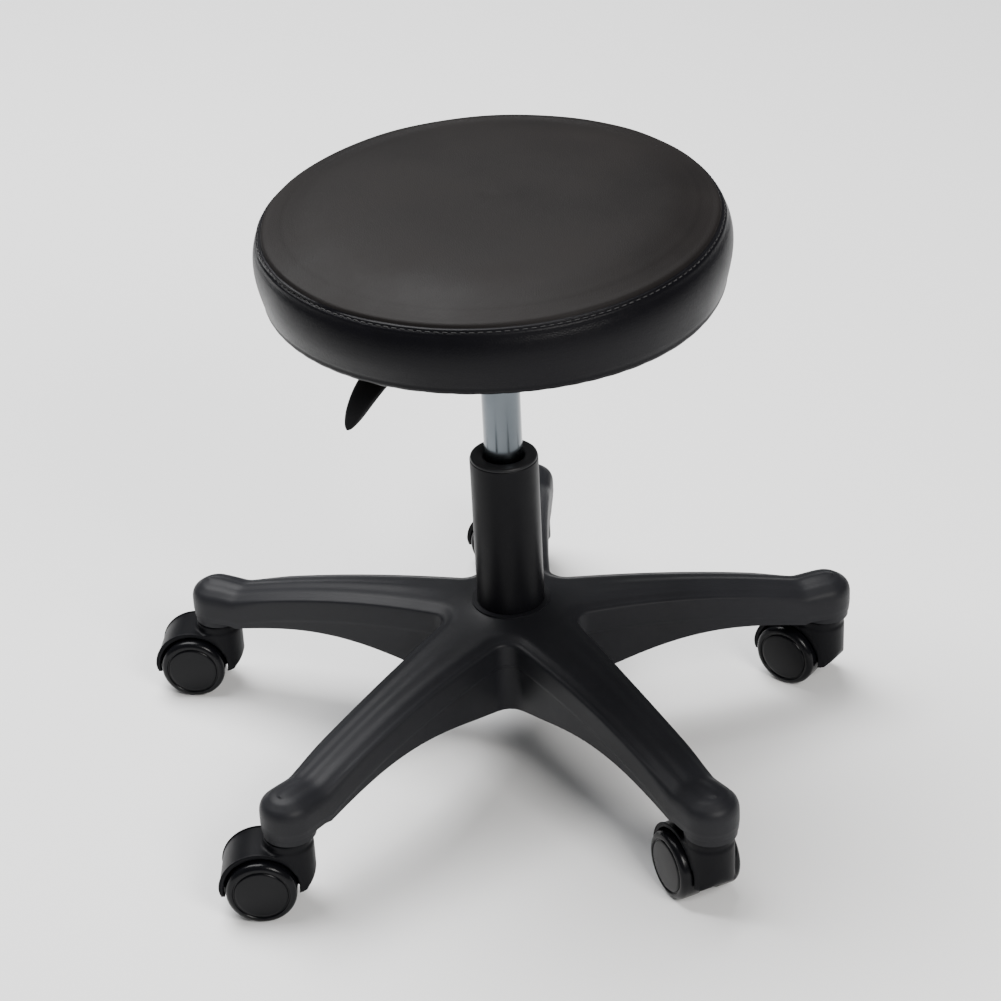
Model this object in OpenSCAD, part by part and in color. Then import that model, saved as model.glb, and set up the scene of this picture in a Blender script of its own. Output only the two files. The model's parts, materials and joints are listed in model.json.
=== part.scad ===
// Adjustable swivel stool: a round padded seat on a gas lift, a five-arm base and twin-wheel casters.
// The floor is z = 0, the column stands on the Z axis, and the back arm points along +Y.

/* [Seat] */
// Diameter of the padded seat at its widest
seat_d = 335; // [280:1:410]
// Height of the sewn side band, from the board's underside to the top seam
band_h = 52; // [40:1:80]
// Rise of the crowned top above its seam
crown_h = 7; // [3:0.5:15]
// How far the side band bulges past the seam
belly = 4; // [1:0.5:10]
// Front edge lower than the back, in degrees
tilt_front = 2.6; // [0:0.1:3]
// Left edge lower than the right, in degrees
tilt_left = 0.9; // [0:0.1:3]
// Thickness of the plywood board
board_t = 12; // [9:1:18]
// Thickness of the upholstery
cover_t = 1; // [0.8:0.1:1.5]
// Width of the cover's flap stapled under the board
flap_w = 24; // [15:1:35]
// Number of staples in the flap
staple_count = 20; // [8:1:36]

/* [Gas lift] */
// Outer diameter of the outer tube
tube_d = 50; // [44:1:62]
// Wall of the outer tube
tube_wall = 1.8; // [1.5:0.1:3]
// Free height of the outer tube above the hub
tube_rise = 119; // [90:1:160]
// Diameter of the chrome cylinder
cyl_d = 28; // [22:1:34]
// Wall of the chrome cylinder
cyl_wall = 1.5; // [1.2:0.1:2.5]
// Diameter of the piston rod
rod_d = 10; // [8:0.5:12]
// Full travel of the seat, up and down
stroke = 105; // [60:1:110]
// How far the seat is raised at rest
lift_rest = 70; // [0:1:105]

/* [Seat mechanism] */
// Outer diameter of the tapered socket tube
socket_d = 36; // [34:1:44]
// Hold length of the tapered socket
socket_l = 40; // [30:1:50]
// Height of the board's underside above the socket's hold, on the column axis
mech_rise = 24; // [22:1:40]
// Margin of the square steel plate outside the seat bolts
plate_edge = 15; // [12:1:25]
// Spacing of the four seat bolts
bolt_pitch = 120; // [110:1:134]
// Direction of the lever, in plan
lever_turn = 229; // [200:1:250]
// Reach of the lever's tip from the column axis
lever_reach = 146; // [130:1:170]
// Drop of the lever's tip below its rod
lever_drop = 36; // [20:1:45]
// Width of the lever's paddle
paddle_w = 25; // [18:1:34]

/* [Base] */
// Radius of the circle through the five caster stems
stem_circle_r = 248; // [200:1:300]
// Radius of each arm's rounded end
nose_r = 20; // [18:0.1:24]
// Height of the hub
hub_h = 68; // [60:1:90]
// Fall of each arm's top line from the hub to its end
arm_fall = 31; // [20:1:45]
// Rise of the arch under each arm
arm_arch = 13.5; // [6:0.5:18]
// Extra half width of an arm where it meets the hub
arm_flare = 13; // [6:0.5:18]
// Moulded wall
wall = 3; // [2.4:0.1:4]
// Thickness of the ribs under the arms
rib = 2.4; // [1.8:0.1:3.2]

/* [Casters] */
// Diameter of each wheel
wheel_d = 50; // [44:1:62]
// Width of each wheel
wheel_w = 17.5; // [14:0.5:22]
// Gap between the two wheels of a caster
wheel_gap = 14; // [13:0.5:18]
// How far the axle trails behind the stem
trail = 22; // [14:0.5:26]
// Thickness of the hood over the wheels
hood_t = 3.2; // [2.5:0.1:4.5]
// Diameter of the stem's upper end
stem_d = 11; // [10:0.5:12]
// Direction each caster points: back, left, front left, front right, right
caster_turn = [-20, -1, 4, -61, -33];

/* [Hidden] */
$fn = 64;
fit = 0.05;        // radial running clearance
air = 0.5;         // clearance between parts that pass without guiding each other

ARMS = ["back", "left", "front_left", "front_right", "right"];

// --- caster sizes -------------------------------------------------------------------------
axle_z = wheel_d / 2;
axle_r = 3;
wheel_clear = 1.4;                            // between tread and hood
pocket_r = wheel_d / 2 + wheel_clear;
hood_r = pocket_r + hood_t;
web_w = wheel_gap - 1;                        // the hood's middle, between the wheels
hood_w = 2 * (wheel_gap / 2 + wheel_w) - 14;  // the wheels stand 7 proud each side
hood_low_z = axle_z - 5;                      // lower edge of the hood
hood_front = 16;                              // front wall, ahead of the stem
neck_r = nose_r - 3;
neck_z = axle_z + hood_r + 6;                 // top of the hood's neck
pin_r = 4.5;                                  // stem below its flange
flange_r = 8;
flange_t = 1.4;
stem_l = 22;                                  // stem above its flange
groove_r = stem_d / 2 - 0.9;
groove_z = 13;                                // grip ring's height in the socket
groove_h = 6;

// --- base sizes ---------------------------------------------------------------------------
collar_z = neck_z + 2 * fit + flange_t;       // underside of each stem socket
collar_r = nose_r - 1.3;
nose_z = collar_z + 5;                        // lower edge of the arm's end wall
hub_low_z = collar_z - 3;
hub_top_z = hub_low_z + hub_h;
skirt_z = hub_low_z + 1.5;                    // underside of the arms, just above the hub's lower edge
hub_r = tube_d / 2 + 31;
boss_r = stem_d / 2 + 4;
arm_end = stem_circle_r - nose_r;             // where the nose takes over
arm_root_z = hub_top_z - 4;
arm_tip_z = arm_root_z - arm_fall;
shoulder_w = 4.5;                             // the arm's upper layer is this much narrower
shoulder_h = 5;                               // and stands this far above the lower one
shoulder_fade = 0.3;                          // share of the shoulder lost by the arm's end
dome_r = nose_r - 5;
dome_h = 6;
arm_run = stem_circle_r - 5;                   // the arm runs on inside the nose
arm_steps = 9;

// --- gas lift sizes -----------------------------------------------------------------------
tube_r = tube_d / 2;
tube_foot_r = tube_r - 1;                     // the tube tapers inside the hub
tube_low_z = hub_low_z - 4;
tube_top_z = hub_top_z + tube_rise;
tube_bore_r = tube_r - tube_wall;
foot_bore_r = tube_foot_r - tube_wall;
foot_t = 3;
rod_r = rod_d / 2;
rod_foot_r = rod_r - 1;
race_t = 2;
ball_r = 2.5;
ball_count = 9;
ball_circle_r = rod_r + 4.5;
race_r = ball_circle_r + 4;
race_z = tube_low_z + foot_t;                 // underside of the lower race
ball_z = race_z + race_t + ball_r;
race_top_z = ball_z + ball_r + race_t;
bumper_h = 8;
washer_t = 1.5;
clip_t = 1;
rod_low_z = tube_low_z - washer_t - clip_t - 3;
cyl_r = cyl_d / 2;
cyl_bore_r = cyl_r - cyl_wall;
cyl_low_z = race_top_z + bumper_h + air + lift_rest;
gland_h = 18;
piston_h = 12;
piston_z = cyl_low_z - lift_rest + stroke + gland_h + 5;
rim_h = 2.5;                                  // the bushing's flange on the tube
rim_r = tube_r - 0.4;
bushing_l = 90;
low_gap = 6.5;                                // socket above the bushing at the lowest height
socket_z = tube_top_z + rim_h + low_gap + lift_rest;
cyl_top_z = socket_z + socket_l;
taper = 0.8;                                  // fall of the radius over the socket
valve_h = 35;
valve_pin_r = 3;
pin_proud = 7;                                // pin above the cylinder at rest
pin_travel = 2.6;
pin_z = cyl_top_z + pin_proud;

// --- seat sizes, in the tilted frame of the board's underside --------------------------------
seat_z = cyl_top_z + mech_rise;
seam_r = seat_d / 2 - belly;
foot_r = seam_r - 2;                          // where the side band turns under
turn_r = 6;                                   // radius of that turn
turn_z = turn_r - cover_t;                    // height of its centre
inner_r = seam_r - cover_t;
board_r = foot_r - turn_r;
flat_r = 60;                                  // flat middle of the crowned top
side_steps = 10;
crown_steps = 8;
dust_t = 0.6;
dust_r = board_r - flap_w - 3;
staple_r = board_r - flap_w / 2;
bolt_r = 4;
bolt_short = 0.6;                             // the bolt's end below the tee nut's face
head_r = 7;
head_h = 3.5;
washer_r = 9;
bolt_washer_t = 1.6;
nut_r = 5;
nut_flange_r = 11;
nut_flange_t = 1.4;

// --- mechanism sizes -----------------------------------------------------------------------
plate_t = 3;
plate_w = bolt_pitch + 2 * plate_edge;
bolt_l = plate_t + dust_t + bolt_washer_t + board_t + nut_flange_t - bolt_short;
tray_h = 2 * mech_rise + 16;                  // tall enough to be cut off by the tilted plate
tray_w = 40;                                  // the pressed tray that holds the lever
tray_back = 26;
tray_front = 46;
tray_t = 2.5;
tray_z = cyl_top_z - 4;                       // underside of the tray's floor
pivot_x = 28;                                 // pivot pin ahead of the column axis
pivot_r = 2.5;
nose_bar_r = 3;                               // rounded tip that presses the pin
bar_w = 12;
bar_z = pin_z + 2 * fit + nose_bar_r;         // centre of the lever's inner end
lever_rod_r = 4;
rod_end_x = lever_reach - 42;                 // the rod stops inside the paddle
rod_fall = 9.5;                                // from the pivot to the paddle
paddle_x = lever_reach - 68;
paddle_t = 8;
paddle_steps = 14;
slot_w = 14;

// --- frames ----------------------------------------------------------------------------------
// the board's underside, tilted about the point where the column axis meets it
module on_seat() {
    translate([0, 0, seat_z]) rotate([tilt_front, -tilt_left, 0]) children();
}

// x along the lever, z up from the floor
module on_lever() {
    rotate([0, 0, lever_turn]) children();
}

// x out along arm k
module on_arm(k) {
    rotate([0, 0, 90 + 72 * k]) children();
}

// the stem of arm k, turned so that x points the way its caster faces
module on_caster(k) {
    on_arm(k) translate([stem_circle_r, 0, 0]) rotate([0, 0, caster_turn[k] - 90 - 72 * k]) children();
}

// z along the axle of caster k, from its middle towards the far wheel
module on_axle(k) {
    on_caster(k) translate([-trail, 0, axle_z]) rotate([-90, 0, 0]) children();
}

module at_bolts() {
    for (sx = [-1, 1]) {
        for (sy = [-1, 1]) {
            translate([sx * bolt_pitch / 2, sy * bolt_pitch / 2, 0]) children();
        }
    }
}

// --- seat --------------------------------------------------------------------------------------
// outline of the padded seat, inset by t: under the board, up the bulging side and across the crown
function side_r(s, t) = foot_r + (seam_r - foot_r) * s + belly * 1.25 * sin(180 * pow(s, 0.9)) - t;
function crown_z(r, t) = band_h + crown_h * (1 - pow(max(0, (r - flat_r) / (seam_r - flat_r)), 1.7)) - t;
function pad_outline(t) = concat(
    [[0, t - cover_t], [foot_r - turn_r, t - cover_t]],
    [for (i = [1:3])
        [foot_r - turn_r + (turn_r - t) * sin(30 * i), turn_z - (turn_r - t) * cos(30 * i)]],
    [for (i = [1:side_steps - 1])
        [side_r(i / side_steps, t), turn_z + (band_h - t - turn_z) * i / side_steps]],
    [for (i = [0:crown_steps])
        let (r = (seam_r - t) * (1 - i / crown_steps) + flat_r * i / crown_steps)
            [r, crown_z(r + t, t)]],
    [[0, band_h + crown_h - t]]);

module seat_board() {
    color("burlywood") on_seat() difference() {
        cylinder(r = board_r, h = board_t);
        at_bolts() translate([0, 0, -1]) cylinder(r = nut_r, h = board_t + 2);
    }
}

module seat_foam() {
    color("khaki") on_seat() difference() {
        rotate_extrude($fn = 96) polygon(pad_outline(cover_t));
        translate([0, 0, -1]) cylinder(r = board_r, h = board_t + 1);
        at_bolts() translate([0, 0, board_t - 1]) cylinder(r = nut_flange_r, h = nut_flange_t + 1);
    }
}

// the skin: a sewn top and band, with a flap that turns in under the board
module seat_cover() {
    color([0.1, 0.1, 0.11]) on_seat() difference() {
        rotate_extrude($fn = 96) polygon(pad_outline(0));
        rotate_extrude($fn = 96) polygon(pad_outline(cover_t));
        translate([0, 0, -cover_t - 1]) cylinder(r = board_r - flap_w, h = cover_t + 2);
    }
}

module dust_cover() {
    color("dimgray") on_seat() translate([0, 0, -dust_t]) difference() {
        cylinder(r = dust_r, h = dust_t);
        translate([0, 0, -1]) cylinder(r = tray_front + 12, h = dust_t + 2);
        at_bolts() translate([0, 0, -1]) cylinder(r = nut_r, h = dust_t + 2);
    }
}

module cover_staples() {
    color("silver") on_seat() for (i = [0:staple_count - 1]) {
        rotate([0, 0, 360 * i / staple_count]) translate([staple_r, 0, -cover_t]) {
            translate([-0.6, -5, -0.7]) cube([1.2, 10, 0.7]);
            for (s = [-1, 1]) {
                translate([-0.6, s * 4.4 - 0.6, -0.2]) cube([1.2, 1.2, cover_t + 5]);
            }
        }
    }
}

module tee_nuts() {
    color("silver") on_seat() at_bolts() difference() {
        union() {
            translate([0, 0, 2]) cylinder(r = nut_r, h = board_t - 2);
            translate([0, 0, board_t]) cylinder(r = nut_flange_r - 0.3, h = nut_flange_t);
        }
        translate([0, 0, -1]) cylinder(r = bolt_r, h = board_t + nut_flange_t + 2);
    }
}

module seat_bolts() {
    color("silver") on_seat() at_bolts() translate([0, 0, -plate_t - dust_t - bolt_washer_t]) {
        cylinder(r = bolt_r, h = bolt_l);
        translate([0, 0, -head_h]) cylinder(r = head_r, h = head_h, $fn = 6);
    }
}

module bolt_washers() {
    color("silver") on_seat() at_bolts() translate([0, 0, -plate_t - dust_t - bolt_washer_t]) difference() {
        cylinder(r = washer_r, h = bolt_washer_t);
        translate([0, 0, -1]) cylinder(r = bolt_r + 0.3, h = bolt_washer_t + 2);
    }
}

// --- seat mechanism --------------------------------------------------------------------------------
// the upright walls of the tray, inset by t, up to above the seat's underside
module tray_block(t, low) {
    on_lever() translate([-tray_back + t, -tray_w / 2 + t, low])
        cube([tray_back + tray_front - 2 * t, tray_w - 2 * t, tray_h]);
}

module mechanism_plate() {
    color([0.12, 0.12, 0.12]) difference() {
        union() {
            on_seat() translate([-plate_w / 2, -plate_w / 2, -dust_t - plate_t]) cube([plate_w, plate_w, plate_t]);
            difference() {
                tray_block(0, tray_z);
                tray_block(tray_t, tray_z + tray_t);
            }
        }
        tray_block(tray_t, tray_z + tray_t);
        on_seat() translate([-plate_w, -plate_w, -dust_t]) cube([2 * plate_w, 2 * plate_w, 2 * tray_h]);
        on_seat() at_bolts() translate([0, 0, -tray_h]) cylinder(r = bolt_r + 0.3, h = 2 * tray_h);
        translate([0, 0, tray_z - 1]) cylinder(r = socket_d / 2, h = tray_t + 2);
        on_lever() translate([tray_front - tray_t - 1, -slot_w / 2, tray_z + tray_t])
            cube([tray_t + 2, slot_w, 15]);
        on_lever() translate([pivot_x, 0, bar_z]) rotate([90, 0, 0])
            cylinder(r = pivot_r, h = tray_w + 2, center = true);
    }
}

module taper_socket() {
    color([0.12, 0.12, 0.12]) difference() {
        translate([0, 0, socket_z]) cylinder(r = socket_d / 2, h = tray_z + tray_t - socket_z + 2);
        translate([0, 0, socket_z]) cylinder(r1 = cyl_r, r2 = cyl_r - taper, h = socket_l);
        translate([0, 0, cyl_top_z]) cylinder(r = cyl_r - taper, h = socket_l);
    }
}

module lever_pivot_pin() {
    color("silver") on_lever() translate([pivot_x, 0, bar_z]) rotate([90, 0, 0])
        cylinder(r = pivot_r, h = tray_w, center = true);
}

// a round bar, flattened over the pivot, with a rounded tip above the release pin
module lever_rod() {
    fall_angle = atan(rod_fall / (paddle_x - pivot_x));
    color("silver") on_lever() difference() {
        union() {
            translate([0, 0, bar_z]) rotate([90, 0, 0])
                cylinder(r = nose_bar_r, h = bar_w, center = true);
            translate([0, -bar_w / 2, bar_z - nose_bar_r + 0.4])
                cube([pivot_x, bar_w, 2 * nose_bar_r - 0.8]);
            translate([pivot_x, 0, bar_z]) rotate([90, 0, 0])
                cylinder(r = pivot_r + 3, h = bar_w, center = true);
            translate([pivot_x, 0, bar_z]) rotate([0, 90 + fall_angle, 0])
                cylinder(r = lever_rod_r, h = rod_end_x - pivot_x);
        }
        translate([pivot_x, 0, bar_z]) rotate([90, 0, 0])
            cylinder(r = pivot_r + fit, h = bar_w + 2, center = true);
    }
}

// centre line of the paddle: level with the rod, then curving down to the tip
function paddle_z(s) = bar_z - rod_fall - lever_drop * pow(s, 2.6);
function paddle_half(s) = paddle_w / 2 * sqrt(max(0.02, 1 - pow(max(0, (s - 0.45) / 0.55), 2.2)));
function paddle_thick(s) = paddle_t * (1 - 0.45 * s) / 2 + 2 * max(0, 0.35 - s);

module lever_handle() {
    run = lever_reach - paddle_x;
    steps = [for (i = [0:paddle_steps]) i / paddle_steps];
    fall_angle = atan(rod_fall / (paddle_x - pivot_x));
    color([0.1, 0.1, 0.1]) on_lever() difference() {
        intersection() {
            translate([0, paddle_w, 0]) rotate([90, 0, 0]) linear_extrude(2 * paddle_w)
                polygon(concat(
                    [for (s = steps) [paddle_x + run * s, paddle_z(s) + paddle_thick(s)]],
                    [for (i = [paddle_steps:-1:0])
                        let (s = i / paddle_steps) [paddle_x + run * s, paddle_z(s) - paddle_thick(s)]]));
            translate([0, 0, bar_z - 2 * lever_drop]) linear_extrude(4 * lever_drop)
                polygon(concat(
                    [for (s = steps) [paddle_x + run * s, paddle_half(s)]],
                    [for (i = [paddle_steps:-1:0])
                        let (s = i / paddle_steps) [paddle_x + run * s, -paddle_half(s)]]));
        }
        translate([pivot_x, 0, bar_z]) rotate([0, 90 + fall_angle, 0])
            cylinder(r = lever_rod_r, h = rod_end_x - pivot_x);
    }
}

// --- gas lift ---------------------------------------------------------------------------------------
module gas_cylinder() {
    color([0.75, 0.76, 0.78]) difference() {
        union() {
            translate([0, 0, cyl_low_z]) cylinder(r = cyl_r, h = socket_z - cyl_low_z);
            translate([0, 0, socket_z]) cylinder(r1 = cyl_r, r2 = cyl_r - taper, h = socket_l);
        }
        translate([0, 0, cyl_low_z - 1]) cylinder(r = cyl_bore_r, h = cyl_top_z - cyl_low_z - 1);
        translate([0, 0, cyl_top_z - 3]) cylinder(r = valve_pin_r + 2, h = 4);
    }
}

module cylinder_gland() {
    color([0.15, 0.15, 0.15]) difference() {
        translate([0, 0, cyl_low_z]) cylinder(r = cyl_bore_r, h = gland_h);
        translate([0, 0, cyl_low_z - 1]) cylinder(r = rod_r + fit, h = gland_h + 2);
    }
}

module valve_body() {
    color("goldenrod") difference() {
        translate([0, 0, cyl_top_z - valve_h]) cylinder(r = cyl_bore_r, h = valve_h - 2);
        translate([0, 0, cyl_top_z - valve_h + 2]) cylinder(r = valve_pin_r + fit, h = valve_h);
    }
}

module release_pin() {
    color("silver") translate([0, 0, cyl_top_z - valve_h + 2 + pin_travel + air])
        cylinder(r = valve_pin_r, h = pin_z - cyl_top_z + valve_h - 2 - pin_travel - air);
}

module piston_rod() {
    color("silver") difference() {
        union() {
            translate([0, 0, race_top_z]) cylinder(r = rod_r, h = piston_z + piston_h - race_top_z);
            translate([0, 0, rod_low_z]) cylinder(r = rod_foot_r, h = race_top_z - rod_low_z);
        }
        translate([0, 0, tube_low_z - washer_t - clip_t]) difference() {
            cylinder(r = rod_foot_r + 1, h = clip_t);
            translate([0, 0, -1]) cylinder(r = rod_foot_r - 0.7, h = clip_t + 2);
        }
    }
}

module piston() {
    color("dimgray") translate([0, 0, piston_z]) difference() {
        cylinder(r = cyl_bore_r - fit, h = piston_h);
        translate([0, 0, -1]) cylinder(r = rod_r, h = piston_h + 2);
    }
}

module rubber_bumper() {
    color([0.2, 0.2, 0.2]) translate([0, 0, race_top_z]) difference() {
        cylinder(r = rod_r + 8, h = bumper_h);
        translate([0, 0, -1]) cylinder(r = rod_r, h = bumper_h + 2);
    }
}

module race(z, hole_r) {
    translate([0, 0, z]) difference() {
        cylinder(r = race_r, h = race_t - fit);
        translate([0, 0, -1]) cylinder(r = hole_r, h = race_t + 2);
    }
}

module thrust_race_upper() {
    color("silver") race(race_top_z - race_t + fit, rod_foot_r);
}

module thrust_race_lower() {
    color("silver") race(race_z, rod_foot_r + air);
}

module at_balls() {
    for (i = [0:ball_count - 1]) {
        rotate([0, 0, 360 * i / ball_count]) translate([ball_circle_r, 0, ball_z]) children();
    }
}

module thrust_balls() {
    color("silver") at_balls() sphere(r = ball_r - fit);
}

module ball_cage() {
    color("goldenrod") difference() {
        translate([0, 0, ball_z - 0.6]) cylinder(r = race_r - 0.6, h = 1.2);
        translate([0, 0, ball_z - 2]) cylinder(r = rod_foot_r + air, h = 4);
        at_balls() cylinder(r = ball_r + fit, h = 4, center = true);
    }
}

module lower_washer() {
    color("silver") translate([0, 0, tube_low_z - washer_t]) difference() {
        cylinder(r = rod_r + 5, h = washer_t);
        translate([0, 0, -1]) cylinder(r = rod_foot_r + fit, h = washer_t + 2);
    }
}

// an open spring clip in the rod's groove
module retaining_clip() {
    color("silver") translate([0, 0, tube_low_z - washer_t - clip_t + fit]) difference() {
        cylinder(r = rod_foot_r + 2.5, h = clip_t - 2 * fit);
        translate([0, 0, -1]) cylinder(r = rod_foot_r - 0.7, h = clip_t + 2);
        translate([0, -2, -1]) cube([rod_d, 4, clip_t + 2]);
    }
}

module guide_bushing() {
    color([0.15, 0.15, 0.16]) difference() {
        rotate_extrude($fn = 96) polygon([
            [cyl_r + fit, tube_top_z - bushing_l],
            [tube_bore_r, tube_top_z - bushing_l],
            [tube_bore_r, tube_top_z],
            [rim_r, tube_top_z],
            [rim_r, tube_top_z + 0.8],
            [rim_r - 2.2, tube_top_z + rim_h],
            [cyl_r + 3, tube_top_z + rim_h],
            [cyl_r + fit, tube_top_z + rim_h - 1.5]]);
    }
}

module outer_tube() {
    color([0.06, 0.06, 0.07]) difference() {
        union() {
            translate([0, 0, tube_low_z]) cylinder(r = tube_foot_r, h = hub_low_z - tube_low_z);
            translate([0, 0, hub_low_z]) cylinder(r1 = tube_foot_r, r2 = tube_r, h = hub_h);
            translate([0, 0, hub_top_z]) cylinder(r = tube_r, h = tube_rise);
        }
        translate([0, 0, race_z]) cylinder(r = foot_bore_r, h = hub_low_z - race_z);
        translate([0, 0, hub_low_z]) cylinder(r1 = foot_bore_r, r2 = tube_bore_r, h = hub_h);
        translate([0, 0, hub_top_z]) cylinder(r = tube_bore_r, h = tube_rise + 1);
        translate([0, 0, tube_low_z - 1]) cylinder(r = rod_foot_r + air, h = foot_t + 2);
    }
}

// --- base ------------------------------------------------------------------------------------------
function arm_top(x) = arm_root_z - arm_fall * pow(x / arm_end, 2);
function arm_low(x) = let (s = max(0, (x - hub_r) / (arm_end - hub_r)))
    skirt_z + (nose_z - 2 - skirt_z) * s + arm_arch * sin(180 * s);
function arm_half(x) = nose_r - 0.5 + arm_flare * pow(1 - x / stem_circle_r, 2.5);
function fade(x) = 1 - shoulder_fade * pow(x / arm_run, 2);

// one layer of an arm, a side profile cut by a plan outline: drop and narrow fade outward, inset does not
module arm_layer(drop, narrow, inset, low_extra, run) {
    xs = [for (i = [0:arm_steps]) run * i / arm_steps];
    back = [for (i = [arm_steps:-1:0]) run * i / arm_steps];
    intersection() {
        translate([0, hub_r, 0]) rotate([90, 0, 0]) linear_extrude(2 * hub_r)
            polygon(concat(
                [for (x = xs) [x, arm_top(x) - drop * fade(x) - inset]],
                [for (x = back) [x, arm_low(x) - low_extra]]));
        translate([0, 0, hub_low_z - 40]) linear_extrude(hub_h + 80)
            polygon(concat(
                [for (x = xs) [x, arm_half(x) - narrow * fade(x) - inset]],
                [for (x = back) [x, narrow * fade(x) + inset - arm_half(x)]]));
    }
}

module arm_shell() {
    arm_layer(shoulder_h, 0, 0, 0, arm_run);
    arm_layer(0, shoulder_w, 0, 0, arm_run);
    translate([stem_circle_r, 0, 0]) {
        translate([0, 0, nose_z]) cylinder(r = nose_r, h = arm_tip_z - 3 - nose_z);
        translate([0, 0, arm_tip_z - 3]) cylinder(r1 = nose_r, r2 = nose_r - 3, h = 3);
        translate([0, 0, collar_z]) cylinder(r = collar_r, h = nose_z - collar_z);
        translate([0, 0, arm_tip_z]) intersection() {
            sphere_r = (pow(dome_r, 2) + pow(dome_h, 2)) / (2 * dome_h);
            translate([0, 0, dome_h - sphere_r]) sphere(r = sphere_r);
            translate([0, 0, -1]) cylinder(r = dome_r, h = dome_h + 2);
        }
    }
}

module arm_hollow() {
    arm_layer(shoulder_h, 0, wall, 30, arm_end);
    arm_layer(0, shoulder_w, wall, 30, arm_end);
    translate([stem_circle_r, 0, collar_z - 1]) cylinder(r = collar_r - wall, h = arm_tip_z - wall - collar_z + 1);
}

// ribs under one arm, with the boss that takes the caster's stem
module arm_ribs() {
    intersection() {
        union() {
            arm_layer(shoulder_h, 0, 1, -3, arm_end);
            arm_layer(0, shoulder_w, 1, -3, arm_end);
        }
        union() {
            translate([tube_r, -rib / 2, 0]) cube([arm_end - tube_r, rib, hub_top_z]);
            for (s = [0.45, 0.63, 0.81]) {
                translate([arm_end * s - rib / 2, -hub_r, 0]) cube([rib, 2 * hub_r, hub_top_z]);
            }
        }
    }
    translate([stem_circle_r, 0, collar_z]) {
        cylinder(r = boss_r, h = arm_tip_z - collar_z - 1);
        for (a = [45:90:315]) {
            rotate([0, 0, a]) translate([boss_r - 1, -rib / 2, 3])
                cube([collar_r - wall / 2 - boss_r + 1, rib, arm_tip_z - collar_z - 4]);
        }
    }
}

module base_star() {
    color([0.13, 0.13, 0.14]) difference() {
        union() {
            difference() {
                union() {
                    translate([0, 0, hub_low_z]) cylinder(r = hub_r, h = hub_h - 4 - shoulder_h);
                    translate([0, 0, hub_low_z]) cylinder(r = hub_r - 9, h = hub_h - 5);
                    translate([0, 0, hub_top_z - 5]) cylinder(r1 = hub_r - 12, r2 = tube_r + 3, h = 5);
                    for (k = [0:4]) on_arm(k) arm_shell();
                }
                translate([0, 0, hub_low_z - 1])
                    cylinder(r = hub_r - wall, h = hub_h - 4 - shoulder_h - wall + 1);
                for (k = [0:4]) on_arm(k) arm_hollow();
            }
            translate([0, 0, hub_low_z]) cylinder(r = tube_r + 4, h = hub_h - 1);
            for (k = [0:4]) on_arm(k) arm_ribs();
        }
        translate([0, 0, hub_low_z]) cylinder(r1 = tube_foot_r, r2 = tube_r, h = hub_h);
        translate([0, 0, hub_low_z - 1]) cylinder(r = tube_foot_r, h = 2);
        for (k = [0:4]) on_arm(k) translate([stem_circle_r, 0, collar_z - 1])
            cylinder(r = stem_d / 2, h = stem_l + 2);
    }
}

// --- casters ----------------------------------------------------------------------------------------
module stem(k) {
    color("silver") on_caster(k) difference() {
        union() {
            translate([0, 0, axle_z + axle_r + 2]) cylinder(r = pin_r, h = collar_z - axle_z - axle_r - 2);
            translate([0, 0, collar_z - flange_t]) cylinder(r = flange_r, h = flange_t);
            translate([0, 0, collar_z]) cylinder(r = stem_d / 2, h = stem_l - 1);
        }
        translate([0, 0, collar_z + groove_z]) difference() {
            cylinder(r = stem_d / 2 + 1, h = groove_h);
            translate([0, 0, -1]) cylinder(r = groove_r, h = groove_h + 2);
        }
    }
}

// a split spring ring that grips the socket's wall
module grip_ring(k) {
    color("silver") on_caster(k) translate([0, 0, collar_z + groove_z + 0.2]) difference() {
        cylinder(r = stem_d / 2, h = groove_h - 0.4);
        translate([0, 0, -1]) cylinder(r = groove_r, h = groove_h + 2);
        translate([0, -1, -1]) cube([stem_d, 2, groove_h + 2]);
    }
}

module hood(k) {
    plan_r = hood_w / 2;
    bend = 13;                                // lower front corner
    color([0.12, 0.12, 0.13]) difference() {
        union() {
            intersection() {
                union() {
                    on_axle(k) cylinder(r = hood_r, h = hood_w, center = true, $fn = 96);
                    on_caster(k) translate([0, hood_w / 2, 0]) rotate([90, 0, 0]) linear_extrude(hood_w) {
                        translate([-trail, hood_low_z]) square([trail + hood_front - bend, hood_r + 4]);
                        translate([-trail, hood_low_z + bend]) square([trail + hood_front, hood_r + 4 - bend]);
                        translate([hood_front - bend, hood_low_z + bend]) circle(r = bend);
                    }
                }
                on_caster(k) union() {
                    translate([hood_front - plan_r, 0, hood_low_z]) cylinder(r = plan_r, h = wheel_d);
                    translate([hood_front - plan_r - 2 * hood_r, -plan_r, hood_low_z])
                        cube([2 * hood_r, hood_w, wheel_d]);
                }
            }
            on_caster(k) translate([hood_front - neck_r - 1, 0, axle_z + 12])
                cylinder(r = neck_r, h = neck_z - axle_z - 12);
            on_axle(k) cylinder(r = axle_r + 5, h = web_w, center = true);
        }
        for (s = [-1, 1]) {
            on_axle(k) translate([0, 0, s * (web_w / 2 + hood_w / 2)])
                cylinder(r = pocket_r, h = hood_w, center = true, $fn = 96);
        }
        on_axle(k) cylinder(r = axle_r, h = hood_w, center = true);
        on_caster(k) translate([0, 0, axle_z + axle_r + 1.5]) cylinder(r = pin_r + fit, h = wheel_d);
    }
}

module axle(k) {
    color("silver") on_axle(k) cylinder(r = axle_r, h = wheel_gap + 2 * wheel_w - 12, center = true);
}

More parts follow.
